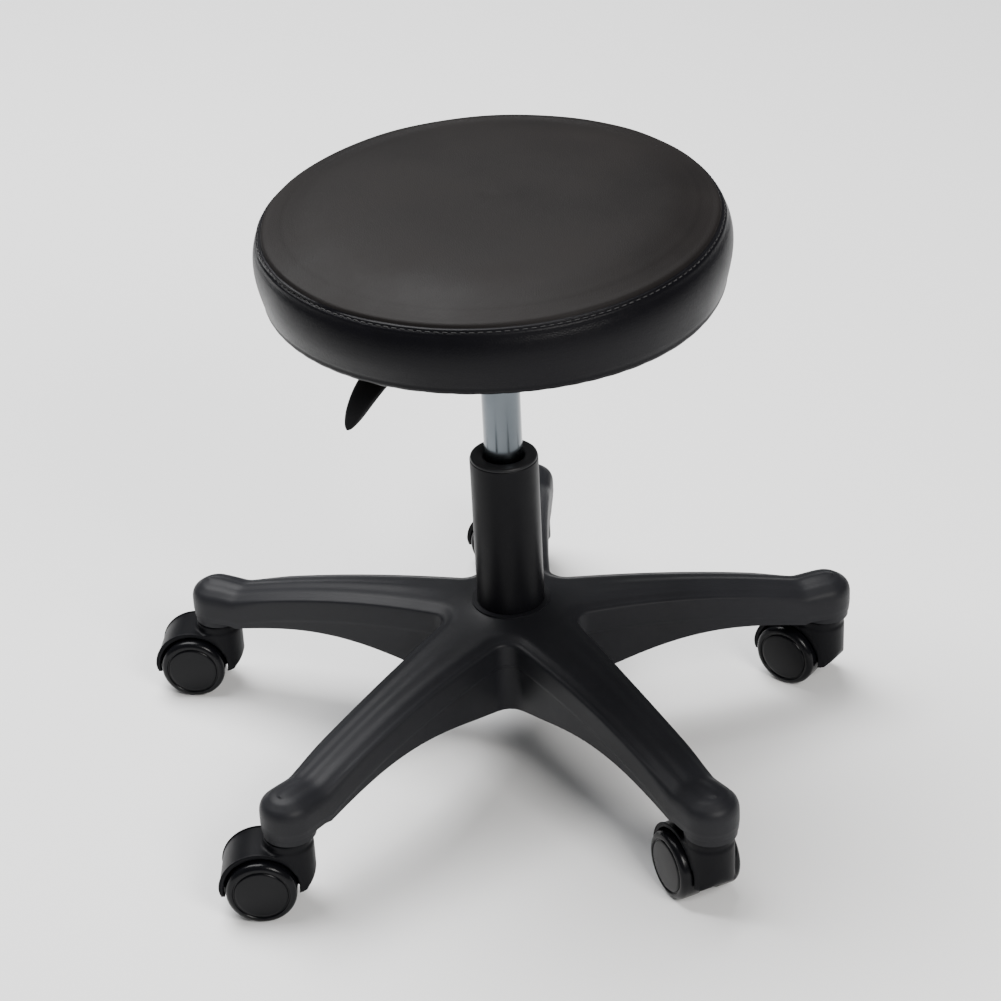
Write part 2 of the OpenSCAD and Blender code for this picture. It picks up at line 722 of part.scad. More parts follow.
// a wheel lying on its inner face, axis on Z
module wheel_solid() {
    hub_wall = 3.5;
    rim_t = 5;
    rim_round = 4;
    face_z = wheel_w - 0.8;                   // the rim; the middle of the face domes out to wheel_w
    rim_r0 = wheel_d / 2 - rim_round;
    rotate_extrude($fn = 96) polygon(concat(
        [[0, wheel_w - 5], [axle_r + fit, wheel_w - 5], [axle_r + fit, 0], [axle_r + hub_wall, 0],
         [axle_r + hub_wall, wheel_w - 6], [wheel_d / 2 - rim_t, wheel_w - 6], [wheel_d / 2 - rim_t, 0],
         [wheel_d / 2 - 1, 0], [wheel_d / 2, 1]],
        [for (a = [0:15:90]) [rim_r0 + rim_round * cos(a), face_z - rim_round + rim_round * sin(a)]],
        [[rim_r0 - 0.8, face_z - 0.9], [rim_r0 - 2, face_z - 0.9]],
        [for (i = [0:4]) let (r = (rim_r0 - 2.6) * (1 - i / 4)) [r, wheel_w - 0.9 * pow(r / rim_r0, 2)]]));
}

module wheel_far(k) {
    color([0.08, 0.08, 0.09]) on_axle(k) translate([0, 0, wheel_gap / 2]) wheel_solid();
}

module wheel_near(k) {
    color([0.08, 0.08, 0.09]) on_axle(k) mirror([0, 0, 1]) translate([0, 0, wheel_gap / 2]) wheel_solid();
}

// --- what is drawn -----------------------------------------------------------------------------------
seat_board();
seat_foam();
seat_cover();
dust_cover();
cover_staples();
tee_nuts();
seat_bolts();
bolt_washers();
mechanism_plate();
taper_socket();
lever_pivot_pin();
lever_rod();
lever_handle();
gas_cylinder();
cylinder_gland();
valve_body();
release_pin();
piston_rod();
piston();
rubber_bumper();
thrust_race_upper();
thrust_balls();
ball_cage();
thrust_race_lower();
lower_washer();
retaining_clip();
guide_bushing();
outer_tube();
base_star();
for (k = [0:4]) {
    stem(k);
    grip_ring(k);
    hood(k);
    axle(k);
    wheel_near(k);
    wheel_far(k);
}
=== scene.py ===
# %% [markdown]
# # A swivel stool on a gas lift
#
# This notebook dresses the measured frame of a small workshop stool: a round padded seat, a gas
# lift, a height lever and a five-arm base on twin-wheel casters. The frame gives the exact sizes
# and the joints. Everything seen on top of it is made here.
#
# We work in metres, in the frame's own axes: Z runs up the column, the floor is z = 0 and the
# back arm of the base points along +Y.

# %% Load the frame
import json
import math

import bmesh
import bpy
import numpy as np
from mathutils import Matrix, Vector


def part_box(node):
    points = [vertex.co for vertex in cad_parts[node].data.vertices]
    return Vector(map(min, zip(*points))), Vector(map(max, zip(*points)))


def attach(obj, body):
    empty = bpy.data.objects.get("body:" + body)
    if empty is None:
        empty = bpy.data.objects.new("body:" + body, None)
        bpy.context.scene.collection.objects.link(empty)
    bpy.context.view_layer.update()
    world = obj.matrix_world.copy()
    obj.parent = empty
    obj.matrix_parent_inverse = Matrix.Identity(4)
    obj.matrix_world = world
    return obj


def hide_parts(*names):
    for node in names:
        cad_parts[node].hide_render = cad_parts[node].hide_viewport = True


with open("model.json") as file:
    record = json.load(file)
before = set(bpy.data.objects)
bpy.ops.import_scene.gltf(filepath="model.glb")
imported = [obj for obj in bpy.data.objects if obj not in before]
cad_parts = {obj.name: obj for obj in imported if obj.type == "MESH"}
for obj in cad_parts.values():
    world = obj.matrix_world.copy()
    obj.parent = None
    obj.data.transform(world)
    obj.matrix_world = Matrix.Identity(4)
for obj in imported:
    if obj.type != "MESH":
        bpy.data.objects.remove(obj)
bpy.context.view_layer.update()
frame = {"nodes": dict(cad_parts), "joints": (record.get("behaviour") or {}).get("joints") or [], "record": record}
MM = 0.001
joint_of = {joint["name"]: joint for joint in frame["joints"]}
mount_of = {mount["name"]: mount for mount in frame["record"]["mounts"]}

# %% [markdown]
# ## Where we stand to look at it
#
# A camera has a place, a direction and a lens. We could aim it by hand, but it is easier to say
# where it stands around the column: so far away, so high above the floor, so far round to the
# right, and a little tipped. A long lens from two metres keeps the arms from looking stretched.

# %% The camera
VIEW_AWAY = 1943.04 * MM
VIEW_UP = math.radians(30.306)
VIEW_ROUND = math.radians(4.775)
VIEW_TIP = math.radians(-2.966)
VIEW_SIDESTEP = 4.015 * MM
VIEW_HEIGHT = 209.112 * MM
LENS = 95.95


def view_axes():
    """Right, up and backward directions of the camera."""
    back = Vector((math.sin(VIEW_ROUND) * math.cos(VIEW_UP),
                   -math.cos(VIEW_ROUND) * math.cos(VIEW_UP), math.sin(VIEW_UP)))
    level = Vector((0, 0, 1)).cross(back).normalized()
    upright = back.cross(level)
    right = level * math.cos(VIEW_TIP) + upright * math.sin(VIEW_TIP)
    up = upright * math.cos(VIEW_TIP) - level * math.sin(VIEW_TIP)
    return right, up, back


def placed(name, data):
    """A new object in the scene."""
    made = bpy.data.objects.new(name, data)
    bpy.context.scene.collection.objects.link(made)
    return made


camera = placed("camera", bpy.data.cameras.new("camera"))
right, up, back = view_axes()
camera.matrix_world = Matrix((right, up, back)).transposed().to_4x4()
camera.location = Vector((0, 0, VIEW_HEIGHT)) + back * VIEW_AWAY - right * VIEW_SIDESTEP
camera.data.lens = LENS
camera.data.sensor_width = 36.0
camera.data.sensor_fit = "HORIZONTAL"
camera.data.clip_start = 0.05
camera.data.clip_end = 50.0
bpy.context.scene.camera = camera
print("camera at", [round(x, 3) for x in camera.location])

# %% [markdown]
# ## A workbench of helpers
#
# Most parts of a stool are turned, moulded or bent. These helpers make a mesh from a grid of
# points, a turned part from a profile, and a moulded part by growing a soft skin over rough
# shapes. `numpy` does the sums, because a Python loop over every point would be slow.

# %% Helpers: meshes
def smooth(mesh):
    """Smooth shading on every face."""
    mesh.polygons.foreach_set("use_smooth", [True] * len(mesh.polygons))


def new_object(name, points, faces):
    """A mesh object from points and faces."""
    mesh = bpy.data.meshes.new(name)
    mesh.from_pydata([tuple(p) for p in points], [], [tuple(f) for f in faces])
    mesh.validate()
    mesh.update()
    smooth(mesh)
    return placed(name, mesh)


def full_turn(count):
    """Angles all the way round, without the last one that would repeat the first."""
    return np.linspace(0, 2 * math.pi, count, endpoint=False)


def run_along(points):
    """How far along a line each of its points lies."""
    steps = np.linalg.norm(np.diff(points, axis=0), axis=1)
    return np.concatenate([[0], np.cumsum(steps)])


def grid_faces(rows, columns, close_columns=True, first=0):
    """Faces of a grid of points that are numbered row by row."""
    faces = []
    for i in range(rows - 1):
        for j in range(columns if close_columns else columns - 1):
            k = (j + 1) % columns
            faces.append((first + i * columns + j, first + i * columns + k,
                          first + (i + 1) * columns + k, first + (i + 1) * columns + j))
    return faces


def ring_faces(rows, columns):
    """Faces of a grid whose last row joins its first, as on a ring."""
    last = (rows - 1) * columns
    return grid_faces(rows, columns) + [
        (last + j, last + (j + 1) % columns, (j + 1) % columns, j) for j in range(columns)]


def rod_faces(rows, columns, first=0):
    """Faces of a grid that is closed at both ends, as on a rod."""
    end = first + (rows - 1) * columns
    return grid_faces(rows, columns, first=first) + [
        tuple(range(first, first + columns))[::-1], tuple(range(end, end + columns))]


def turned(name, profile, segments=128, frame_of=None, closed=True):
    """A turned part from (radius, height) points; a closed profile is a ring's section."""
    profile = np.array(profile, float)
    angles = full_turn(segments)
    rings = [np.stack([r * np.cos(angles), r * np.sin(angles), np.full(segments, z)], 1)
             for r, z in profile if r > 1e-7]
    points = list(np.concatenate(rings))
    faces = (ring_faces if closed else grid_faces)(len(rings), segments)
    for end in (0, -1):
        if profile[end][0] <= 1e-7:
            points.append((0, 0, profile[end][1]))
            base = 0 if end == 0 else (len(rings) - 1) * segments
            for j in range(segments):
                k = (j + 1) % segments
                faces.append((len(points) - 1, base + k, base + j) if end == 0
                             else (len(points) - 1, base + j, base + k))
    made = new_object(name, points, faces)
    if frame_of is not None:
        made.data.transform(frame_of)
    outward(made)
    return made


def outward(made):
    """Turns every face to look out."""
    work = bmesh.new()
    work.from_mesh(made.data)
    bmesh.ops.recalc_face_normals(work, faces=work.faces)
    work.to_mesh(made.data)
    work.free()


def arc(centre, radius, start, end, steps):
    """Points on an arc of a profile, angles in degrees."""
    return [(centre[0] + radius * math.cos(math.radians(a)),
             centre[1] + radius * math.sin(math.radians(a)))
            for a in np.linspace(start, end, steps)]


def crisp(made, angle=35):
    """Smooth shading that stays sharp over edges steeper than this."""
    smooth(made.data)
    made.data.set_sharp_from_angle(angle=math.radians(angle))


def settle(made, modifiers):
    """Applies a list of (kind, settings) modifiers, in order."""
    for kind, settings in modifiers:
        modifier = made.modifiers.new(kind.lower(), kind)
        for key, value in settings.items():
            setattr(modifier, key, value)
    graph = bpy.context.evaluated_depsgraph_get()
    mesh = bpy.data.meshes.new_from_object(made.evaluated_get(graph))
    made.modifiers.clear()
    made.data = mesh
    smooth(mesh)


def poured(target, *meshes):
    """Puts several meshes together into one."""
    work = bmesh.new()
    for mesh in meshes:
        work.from_mesh(mesh)
    work.to_mesh(target)
    work.free()


def points_of(mesh):
    """The points of a mesh as an array."""
    co = np.empty(len(mesh.vertices) * 3)
    mesh.vertices.foreach_get("co", co)
    return co.reshape(-1, 3)


def dress(made, body, material, replaces=()):
    """Gives a finished piece its material and the body it rides on."""
    made.data.materials.clear()
    for one in material if isinstance(material, (list, tuple)) else [material]:
        made.data.materials.append(one)
    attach(made, body)
    if replaces:
        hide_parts(*replaces)
    print(made.name, len(made.data.polygons), "faces, on", body)
    return made


def waves(x, y, z, seed, count=14, low=1.0, high=3.0):
    """A smooth random field: a sum of sine waves with seeded directions."""
    draw = np.random.default_rng(seed)
    total = np.zeros_like(x)
    for _ in range(count):
        k = draw.normal(size=3)
        k *= draw.uniform(low, high) / np.linalg.norm(k)
        total += np.sin(k[0] * x + k[1] * y + k[2] * z + draw.uniform(0, 2 * math.pi))
    return total / math.sqrt(count / 2)


# %% [markdown]
# ## Finishes
#
# Each finish is a small node tree, so that the surface has structure at every distance: a colour
# that varies a little, a gloss that varies with it, and a bump at the real size of the grain. The
# textures use the object's own coordinates in metres, so a scale of 1000 means one per millimetre
# and the grain keeps its size on every part.

# %% Helpers: finishes
class Finish:
    """A material under construction, with short words for the nodes we use."""

    def __init__(self, name, **sockets):
        self.material = bpy.data.materials.new(name)
        self.material.use_nodes = True
        self.tree = self.material.node_tree
        self.shader = self.tree.nodes["Principled BSDF"]
        self.place = self.tree.nodes.new("ShaderNodeTexCoord").outputs["Object"]
        for key, value in sockets.items():
            self.shader.inputs[key.replace("_", " ")].default_value = value

    def node(self, kind, links=None, **values):
        made = self.tree.nodes.new(kind)
        for key, value in values.items():
            if hasattr(made, key) and not key[0].isupper():
                setattr(made, key, value)
            else:
                made.inputs[key.replace("_", " ")].default_value = value
        for key, source in (links or {}).items():
            self.tree.links.new(source, made.inputs[key])
        return made

    def stretch(self, scale):
        return self.node("ShaderNodeMapping", {"Vector": self.place}, Scale=scale).outputs[0]

    def noise(self, scale, detail=4.0, roughness=0.55, place=None):
        return self.node("ShaderNodeTexNoise", {"Vector": place or self.place},
                         Scale=scale, Detail=detail, Roughness=roughness).outputs["Fac"]

    def cells(self, scale, feature="DISTANCE_TO_EDGE", randomness=1.0):
        return self.node("ShaderNodeTexVoronoi", {"Vector": self.place}, feature=feature,
                         Scale=scale, Randomness=randomness).outputs["Distance"]

    def span(self, source, low, high, start=0.0, end=1.0):
        made = self.node("ShaderNodeMapRange", {"Value": source})
        limits = {"From Min": low, "From Max": high, "To Min": start, "To Max": end}
        for key, value in limits.items():
            made.inputs[key].default_value = value
        return made.outputs["Result"]

    def maths(self, operation, a, b):
        made = self.tree.nodes.new("ShaderNodeMath")
        made.operation = operation
        for socket, value in zip(made.inputs, (a, b)):
            if isinstance(value, (int, float)):
                socket.default_value = value
            else:
                self.tree.links.new(value, socket)
        return made.outputs[0]

    def colours(self, source, *stops):
        made = self.tree.nodes.new("ShaderNodeValToRGB")
        while len(made.color_ramp.elements) < len(stops):
            made.color_ramp.elements.new(0.5)
        for element, (at, colour) in zip(made.color_ramp.elements, stops):
            element.position = at
            element.color = (*colour, 1.0)
        self.tree.links.new(source, made.inputs[0])
        return made.outputs["Color"]

    def paint(self, source, *stops):
        self.tree.links.new(self.colours(source, *stops), self.shader.inputs["Base Color"])

    def gloss(self, source, low, high):
        self.tree.links.new(self.span(source, 0.3, 0.7, low, high), self.shader.inputs["Roughness"])

    def grain(self, *layers):
        """Bumps, laid over each other: (height source, depth in metres)."""
        last = None
        for source, depth in layers:
            made = self.node("ShaderNodeBump", {"Height": source}, Strength=1.0, Distance=depth)
            if last is not None:
                self.tree.links.new(last, made.inputs["Normal"])
            last = made.outputs["Normal"]
        self.tree.links.new(last, self.shader.inputs["Normal"])


# %% [markdown]
# ### The seat's cover
#
# Black upholstery vinyl is a soft plastic skin, pressed with a fine leather grain and backed with
# cloth. Its colour is almost black, a little warm, and its gloss is broken by the grain. A Voronoi
# pattern gives the pebbles, a finer noise the pores between them, and a slow noise makes the places
# that hands and legs have polished. The top and the band are one vinyl in two copies: the top is
# painted lighter and warmer, as painted light, and the band darker and bluer, as painted shade.

# %% Finish: upholstery vinyl
def vinyl(name, warm, cool, low, high, depth):
    made = Finish(name, Specular_IOR_Level=0.10)
    pebbles = made.cells(620.0, randomness=0.9)
    pores = made.noise(2600.0, 3.0, 0.6)
    worn = made.noise(16.0, 3.0, 0.5)
    creases = made.noise(1.0, 4.0, 0.55, made.stretch((60.0, 60.0, 420.0)))
    made.paint(made.maths("ADD", made.maths("MULTIPLY", worn, 0.75),
                          made.maths("MULTIPLY", pores, 0.25)), (0.3, cool), (0.7, warm))
    made.gloss(worn, low, high)
    made.grain((made.span(pebbles, 0.0, 0.35), depth), (pores, depth * 0.45),
               (creases, depth * 1.1))
    return made.material


# The same vinyl twice: the top's copy is lighter and warmer as painted light, the band's copy darker and bluer as
# painted shade.
TOP_VINYL_PAINTED_LIGHT = vinyl("top_vinyl_painted_light", (0.0104, 0.0089, 0.0085), (0.0072, 0.0063, 0.0062),
                  0.50, 0.62, 0.00006)
BAND_VINYL_PAINTED_SHADE = vinyl("band_vinyl_painted_shade", (0.0040, 0.0038, 0.0052), (0.0026, 0.0026, 0.0036),
                   0.30, 0.44, 0.00007)

thread = Finish("seat_thread", Roughness=0.6)
strands = thread.node("ShaderNodeTexWave", {"Vector": thread.place}, Scale=900.0, Distortion=2.0)
thread.paint(thread.noise(900.0), (0.35, (0.010, 0.010, 0.011)), (0.65, (0.028, 0.027, 0.028)))
thread.grain((strands.outputs["Fac"], 0.00008))
THREAD = thread.material

# %% [markdown]
# ### Backing cloth, plywood and foam
#
# The cloth under the seat is a bonded polypropylene: no weave, but a grid of small pressed points.
# Plywood shows its grain on the face and its layers at the edge.

# %% Finishes under the seat
backing = Finish("backing_cloth", Roughness=0.92, Sheen_Weight=0.2)
pressed = backing.cells(900.0, "F1", randomness=0.12)
backing.paint(backing.noise(420.0, 5.0, 0.7), (0.35, (0.012, 0.012, 0.013)),
              (0.7, (0.032, 0.032, 0.034)))
backing.grain((backing.span(pressed, 0.0, 0.5), 0.00010), (backing.noise(3000.0, 2.0), 0.00005))
BACKING = backing.material

ply = Finish("plywood", Roughness=0.6)
grain_place = ply.stretch((9.0, 160.0, 900.0))
ply.paint(ply.noise(1.0, 6.0, 0.6, grain_place), (0.30, (0.30, 0.19, 0.10)),
          (0.52, (0.46, 0.32, 0.19)), (0.70, (0.56, 0.42, 0.27)))
ply.grain((ply.noise(1.0, 6.0, 0.6, grain_place), 0.00012))
PLYWOOD = ply.material

# %% [markdown]
# ### Moulded nylon
#
# The base and the casters are glass-filled nylon, moulded in a finely etched tool. That leaves a
# charcoal skin that is neither flat nor shiny, with faint flow marks. The wheels are the same
# plastic from a polished tool.

# %% Finish: moulded nylon
def nylon(name, dark, light, low, high, depth, shine=0.16):
    made = Finish(name, Specular_IOR_Level=shine)
    etch = made.noise(1400.0, 3.0, 0.7)
    flow = made.noise(11.0, 4.0, 0.55)
    cloud = made.maths("ADD", made.maths("MULTIPLY", flow, 0.7), made.maths("MULTIPLY", etch, 0.3))
    made.paint(cloud, (0.36, dark), (0.64, light))
    made.gloss(flow, low, high)
    made.grain((etch, depth), (made.noise(70.0, 2.0), depth * 2.0))
    return made.material


BASE_NYLON = nylon("base_nylon", (0.0076, 0.0078, 0.0094), (0.0116, 0.0118, 0.0142),
                   0.42, 0.54, 0.00008)
HOOD_NYLON = nylon("hood_nylon", (0.0030, 0.0031, 0.0040), (0.0048, 0.0049, 0.0061),
                   0.38, 0.48, 0.00005, shine=0.08)
WHEEL_NYLON = nylon("wheel_nylon", (0.0022, 0.0023, 0.0030), (0.0036, 0.0037, 0.0047),
                    0.18, 0.30, 0.00003, shine=0.14)
LEVER_PLASTIC = nylon("lever_plastic", (0.0080, 0.0080, 0.0088), (0.0130, 0.0130, 0.0142),
                      0.36, 0.46, 0.00005)
BUSH_PLASTIC = nylon("bushing_plastic", (0.0100, 0.0102, 0.0112), (0.0170, 0.0172, 0.0186),
                     0.34, 0.44, 0.00004)

# %% [markdown]
# ### Steel, chrome, brass and paint
#
# The lift's outer tube is sprayed and baked, so it has a soft shine and a slight orange peel. The
# steel plate has a coarser powder coat. The inner cylinder is ground and then chromed, which
# leaves very fine lines round it: they draw every reflection out into an upright streak.

# %% Finishes for metal
def coat(name, shine, mottle, dark, light, cloud, low, high, bumps, depth):
    made = Finish(name, Specular_IOR_Level=shine)
    made.paint(made.noise(mottle), (0.3, dark), (0.7, light))
    made.gloss(made.noise(cloud), low, high)
    made.grain((made.noise(*bumps), depth))
    return made.material


TUBE_PAINT = coat("black_tube_paint", 0.10, 9.0, (0.0020, 0.0020, 0.0028),
                  (0.0042, 0.0042, 0.0054), 24.0, 0.34, 0.46, (260.0, 2.0, 0.4), 0.00005)
POWDER_COAT = coat("black_powder_coat", 0.45, 30.0, (0.010, 0.010, 0.011),
                   (0.022, 0.022, 0.024), 40.0, 0.42, 0.56, (900.0, 2.0, 0.5), 0.00012)
RUBBER = coat("rubber", 0.35, 60.0, (0.012, 0.012, 0.012), (0.024, 0.023, 0.023),
              80.0, 0.62, 0.8, (1500.0, 3.0), 0.00006)


def bright_metal(name, dark, light, low, high, stretch, depth):
    made = Finish(name, Metallic=1.0)
    lines = made.noise(1.0, 4.0, 0.6, made.stretch(stretch))
    made.paint(made.noise(14.0, 4.0), (0.3, dark), (0.7, light))
    made.gloss(made.maths("ADD", made.maths("MULTIPLY", lines, 0.6),
                          made.maths("MULTIPLY", made.noise(20.0, 3.0), 0.4)), low, high)
    made.grain((lines, depth))
    return made.material


# The chrome's colour is dark blue-grey, far below real chrome: a painted dim reflection of the surroundings.
CHROME_PAINTED_DIM_REFLECTION = bright_metal("chrome", (0.085, 0.096, 0.106), (0.120, 0.136, 0.150), 0.16, 0.26,
                      (60.0, 60.0, 3600.0), 0.000006)
BRIGHT_STEEL = bright_metal("bright_steel", (0.46, 0.46, 0.47), (0.62, 0.62, 0.63), 0.22, 0.34,
                            (500.0, 500.0, 2500.0), 0.00001)
ZINC = bright_metal("zinc_steel", (0.40, 0.40, 0.38), (0.60, 0.60, 0.57), 0.34, 0.52,
                    (240.0, 240.0, 240.0), 0.00003)
BRASS = bright_metal("brass", (0.55, 0.39, 0.15), (0.74, 0.56, 0.26), 0.24, 0.38,
                     (400.0, 400.0, 1200.0), 0.00001)

foam_skin = Finish("foam", Roughness=0.95)
foam_skin.paint(foam_skin.noise(80.0), (0.3, (0.60, 0.52, 0.30)), (0.7, (0.74, 0.66, 0.42)))
foam_skin.grain((foam_skin.cells(900.0, "F1"), 0.0004))
FOAM = foam_skin.material

FINISH_OF_SLOT = {
    "plywood": PLYWOOD, "foam": FOAM, "synthetic_leather": BAND_VINYL_PAINTED_SHADE, "backing_cloth": BACKING,
    "zinc_steel": ZINC, "bright_steel": BRIGHT_STEEL, "black_powder_coat": POWDER_COAT,
    "black_tube_paint": TUBE_PAINT, "lever_plastic": LEVER_PLASTIC, "chrome": CHROME_PAINTED_DIM_REFLECTION,
    "bushing_plastic": BUSH_PLASTIC, "brass": BRASS, "rubber": RUBBER, "base_nylon": BASE_NYLON,
    "hood_nylon": HOOD_NYLON, "wheel_nylon": WHEEL_NYLON,
}
for part in frame["record"]["subparts"]:
    node = frame["nodes"][part["node"]]
    node.data.materials.clear()
    node.data.materials.append(FINISH_OF_SLOT[part["material_slot"]])
print("finishes on", len(frame["nodes"]), "nodes")

# %% [markdown]
# ## The padded seat
#
# The seat is a foam disc on a plywood board, covered in vinyl: a round top sewn to a side band,
# pulled down over the foam and stapled underneath. Its outline is a closed curve turned round the
# middle: across the crowned top, over the seam, down the bulging band and in under the board.
#
# A turned block would look like cheese. Real padding pushes outwards, so we let a cloth simulation
# blow the cover up a little from a slightly smaller block, and cap how far it may go. The seam,
# the creases and the stitches are narrower than the simulated cloth, so they come afterwards, on
# a much finer grid that follows the simulated shape.

# %% The seat's own frame and outline
BAND_H = 52 * MM
CROWN_H = 7 * MM
SEAM_R = 163.5 * MM
FOOT_R = 161.5 * MM
TURN_R = 6 * MM
BELLY = 5 * MM
FLAT_R = 60 * MM
SKIN = 1 * MM
FLAP_R = 131.5 * MM
UNDER_H = 3 * MM

seat_top = Vector(mount_of["seat_top"]["pos_m"])
seat_up = Vector(mount_of["seat_top"]["axis"]).normalized()
seat_across = Vector((seat_up.z, 0, -seat_up.x)).normalized()
seat_back = seat_up.cross(seat_across)
SEAT = Matrix((seat_across, seat_back, seat_up)).transposed().to_4x4()
SEAT.translation = seat_top - seat_up * (BAND_H + CROWN_H)
print("board's underside at", [round(x, 4) for x in SEAT.translation])


def resample(points, spacing):
    """Points along a line at given spacings; spacing is a list of (length share, step)."""
    points = np.array(points, float)
    runs = run_along(points)
    at, stops = 0.0, [0.0]
    while at < runs[-1]:
        step = next(s for share, s in spacing if at <= share * runs[-1] + 1e-9)
        at = min(at + step, runs[-1])
        stops.append(at)
    return np.stack([np.interp(stops, runs, points[:, k]) for k in (0, 1)], 1)


def band_line(count=80):
    """The side band, from the turn under the board up to the seam."""
    share = np.linspace(0, 1, count)
    return [(FOOT_R + (SEAM_R - FOOT_R) * s + BELLY * math.sin(math.pi * s ** 0.9),
             TURN_R - SKIN + (BAND_H - TURN_R + SKIN) * s) for s in share]


def crown_line(count=120):
    """The top, from the seam in to the middle."""
    return [(r, BAND_H + CROWN_H * (1 - max(0.0, (r - FLAT_R) / (SEAM_R - FLAT_R)) ** 1.7))
            for r in np.linspace(SEAM_R, 0, count)]


under_line = [(0.0, UNDER_H), (FLAP_R - 2 * MM, UNDER_H), (FLAP_R, -SKIN),
              (FOOT_R - TURN_R, -SKIN)]
turn_line = arc((FOOT_R - TURN_R, TURN_R - SKIN), TURN_R, -90, 0, 10)

# %% Blow the cover up
SIM_AROUND = 96
SIM_FRAMES = 20
STUFFING_CAP = 5 * MM


def blown(outline, around):
    """The change in (radius, height) that stuffing makes, for every point of the outline."""
    smaller = outline.copy()
    soft = outline[:, 1] > TURN_R
    smaller[soft, 0] *= 0.988
    smaller[soft, 1] -= 1.5 * MM
    block = turned("stuffing", smaller, around, closed=False)
    group = block.vertex_groups.new(name="held")
    heights = points_of(block.data)[:, 2]
    group.add([int(i) for i in np.nonzero(heights <= TURN_R * 1.2)[0]], 1.0, "REPLACE")
    cloth = block.modifiers.new("cloth", "CLOTH")
    vinyl_cloth = dict(quality=6, mass=0.25, tension_stiffness=12, compression_stiffness=12,
                       shear_stiffness=6, bending_stiffness=0.6, use_pressure=True,
                       uniform_pressure_force=4, vertex_group_mass="held")
    for key, value in vinyl_cloth.items():
        setattr(cloth.settings, key, value)
    cloth.settings.effector_weights.gravity = 0
    cloth.collision_settings.use_collision = False
    scene = bpy.context.scene
    for step in range(1, SIM_FRAMES + 1):
        scene.frame_set(step)
    graph = bpy.context.evaluated_depsgraph_get()
    mesh = bpy.data.meshes.new_from_object(block.evaluated_get(graph))
    unstuffed = turned("unstuffed", outline, around, closed=False)
    move = points_of(mesh) - points_of(unstuffed.data)
    bpy.data.objects.remove(unstuffed)
    bpy.data.objects.remove(block)
    scene.frame_set(1)
    print("stuffing moves the cover by", round(float(np.abs(move).max() / MM), 1), "mm at most")
    size = np.linalg.norm(move, axis=1, keepdims=True)
    return move * np.minimum(1.0, STUFFING_CAP / np.maximum(size, 1e-9))


rough = resample(under_line + turn_line[1:] + band_line()[1:] + crown_line()[1:],
                 [(1.0, 7 * MM)])
rough = np.concatenate([rough[rough[:, 0] > 1e-6], [[0.0, BAND_H + CROWN_H]]])
rough = np.concatenate([[[0.0, UNDER_H]], rough])
stuffed = blown(rough, SIM_AROUND)

# %% [markdown]
# The fine grid has a ring of points for every millimetre near the seam and fewer elsewhere. Near
# the seam its outline is averaged over a few millimetres, so that the edge rolls over softly. Each
# ring borrows the stuffing from the rough one by its place along the outline. Then come the marks
# of sewing, each a small push along the surface's own normal: the valley of the seam, the tuck of
# the topstitching, gathers that fade down the band, pleats under the board, and one long crease
# on the left where the cover was pulled on a little askew.

# %% The fine cover
AROUND = 640
SEAM_DROP = 3.2 * MM
ROLL_REACH, ROLL_SOFT, ROLL_FADE = 9, 3.6 * MM, 13 * MM

line = np.concatenate([
    resample(under_line, [(1.0, 5 * MM)])[1:],
    resample(turn_line, [(1.0, 1.2 * MM)])[1:],
    resample(band_line(), [(0.70, 2.4 * MM), (0.86, 1.2 * MM), (1.0, 0.5 * MM)])[1:],
    resample(crown_line(), [(0.03, 0.5 * MM), (0.10, 1.2 * MM), (0.3, 2.6 * MM),
                            (1.0, 6 * MM)])[1:-1],
])
runs = run_along(line)
seam_row = int(np.argmin(np.hypot(line[:, 0] - SEAM_R, line[:, 1] - BAND_H)))
below_seam = runs[seam_row] - runs
stitch_row = int(np.argmin(np.abs(below_seam - SEAM_DROP)))
offsets = np.linspace(-ROLL_REACH, ROLL_REACH, 2 * ROLL_REACH + 1) * MM
weights = np.exp(-(offsets / ROLL_SOFT) ** 2 / 2)
weights /= weights.sum()
nearby = runs[:, None] + offsets
rolled = np.stack([(np.interp(nearby, runs, line[:, k]) * weights).sum(1) for k in (0, 1)], 1)
roll = np.exp(-(below_seam / ROLL_FADE) ** 4)[:, None]
line = line * (1 - roll) + rolled * roll
R, A = np.meshgrid(line[:, 0], full_turn(AROUND), indexing="ij")
Z = np.repeat(line[:, 1][:, None], AROUND, 1)
grid = np.stack([R * np.cos(A), R * np.sin(A), Z], 2)

if stuffed is not None:
    rough_runs = run_along(rough)
    rings = stuffed[:(len(rough) - 2) * SIM_AROUND].reshape(-1, SIM_AROUND, 3)
    spin = full_turn(SIM_AROUND)
    outwards = (rings[..., 0] * np.cos(spin) + rings[..., 1] * np.sin(spin)).mean(1)
    upwards = rings[..., 2].mean(1)
    place = runs + 5 * MM
    push_out, push_up = (np.interp(place, rough_runs[1:-1], push) for push in (outwards, upwards))
    for push in [push_out, push_up] * 6:
        push[1:-1] = (push[:-2] + 2 * push[1:-1] + push[2:]) / 4
    grid[..., 0] += push_out[:, None] * np.cos(A)
    grid[..., 1] += push_out[:, None] * np.sin(A)
    grid[..., 2] += push_up[:, None]
    print("stuffing: out", round(push_out.max() / MM, 2), "up", round(push_up.max() / MM, 2), "mm")


def surface_normals(grid):
    """Outward normals of a grid that is closed around its columns."""
    around = np.roll(grid, -1, 1) - np.roll(grid, 1, 1)
    along = np.gradient(grid, axis=0)
    normal = np.cross(around, along)
    return normal / np.maximum(np.linalg.norm(normal, axis=2, keepdims=True), 1e-12)


def bell(distance, width):
    """A bump that is 1 in the middle and fades over its width."""
    return np.exp(-(distance / width) ** 2)


# the marks of sewing, as (push out, distance below the seam, width) in millimetres
SEWING = [(-0.5, 0.0, 1.0), (0.55, -3.0, 2.2), (0.35, 1.8, 0.9),
          (-0.35, 3.2, 0.8), (0.35, 5.4, 1.5)]
STITCHES = 176
PLEATS = 31
# places round the seat, in degrees: where the left crease starts, how far it runs, and the middle
# and half width of the fuller part
CREASE_AT, CREASE_RUN = 178, 66
FULLER_AT, FULLER_HALF = 322, 34

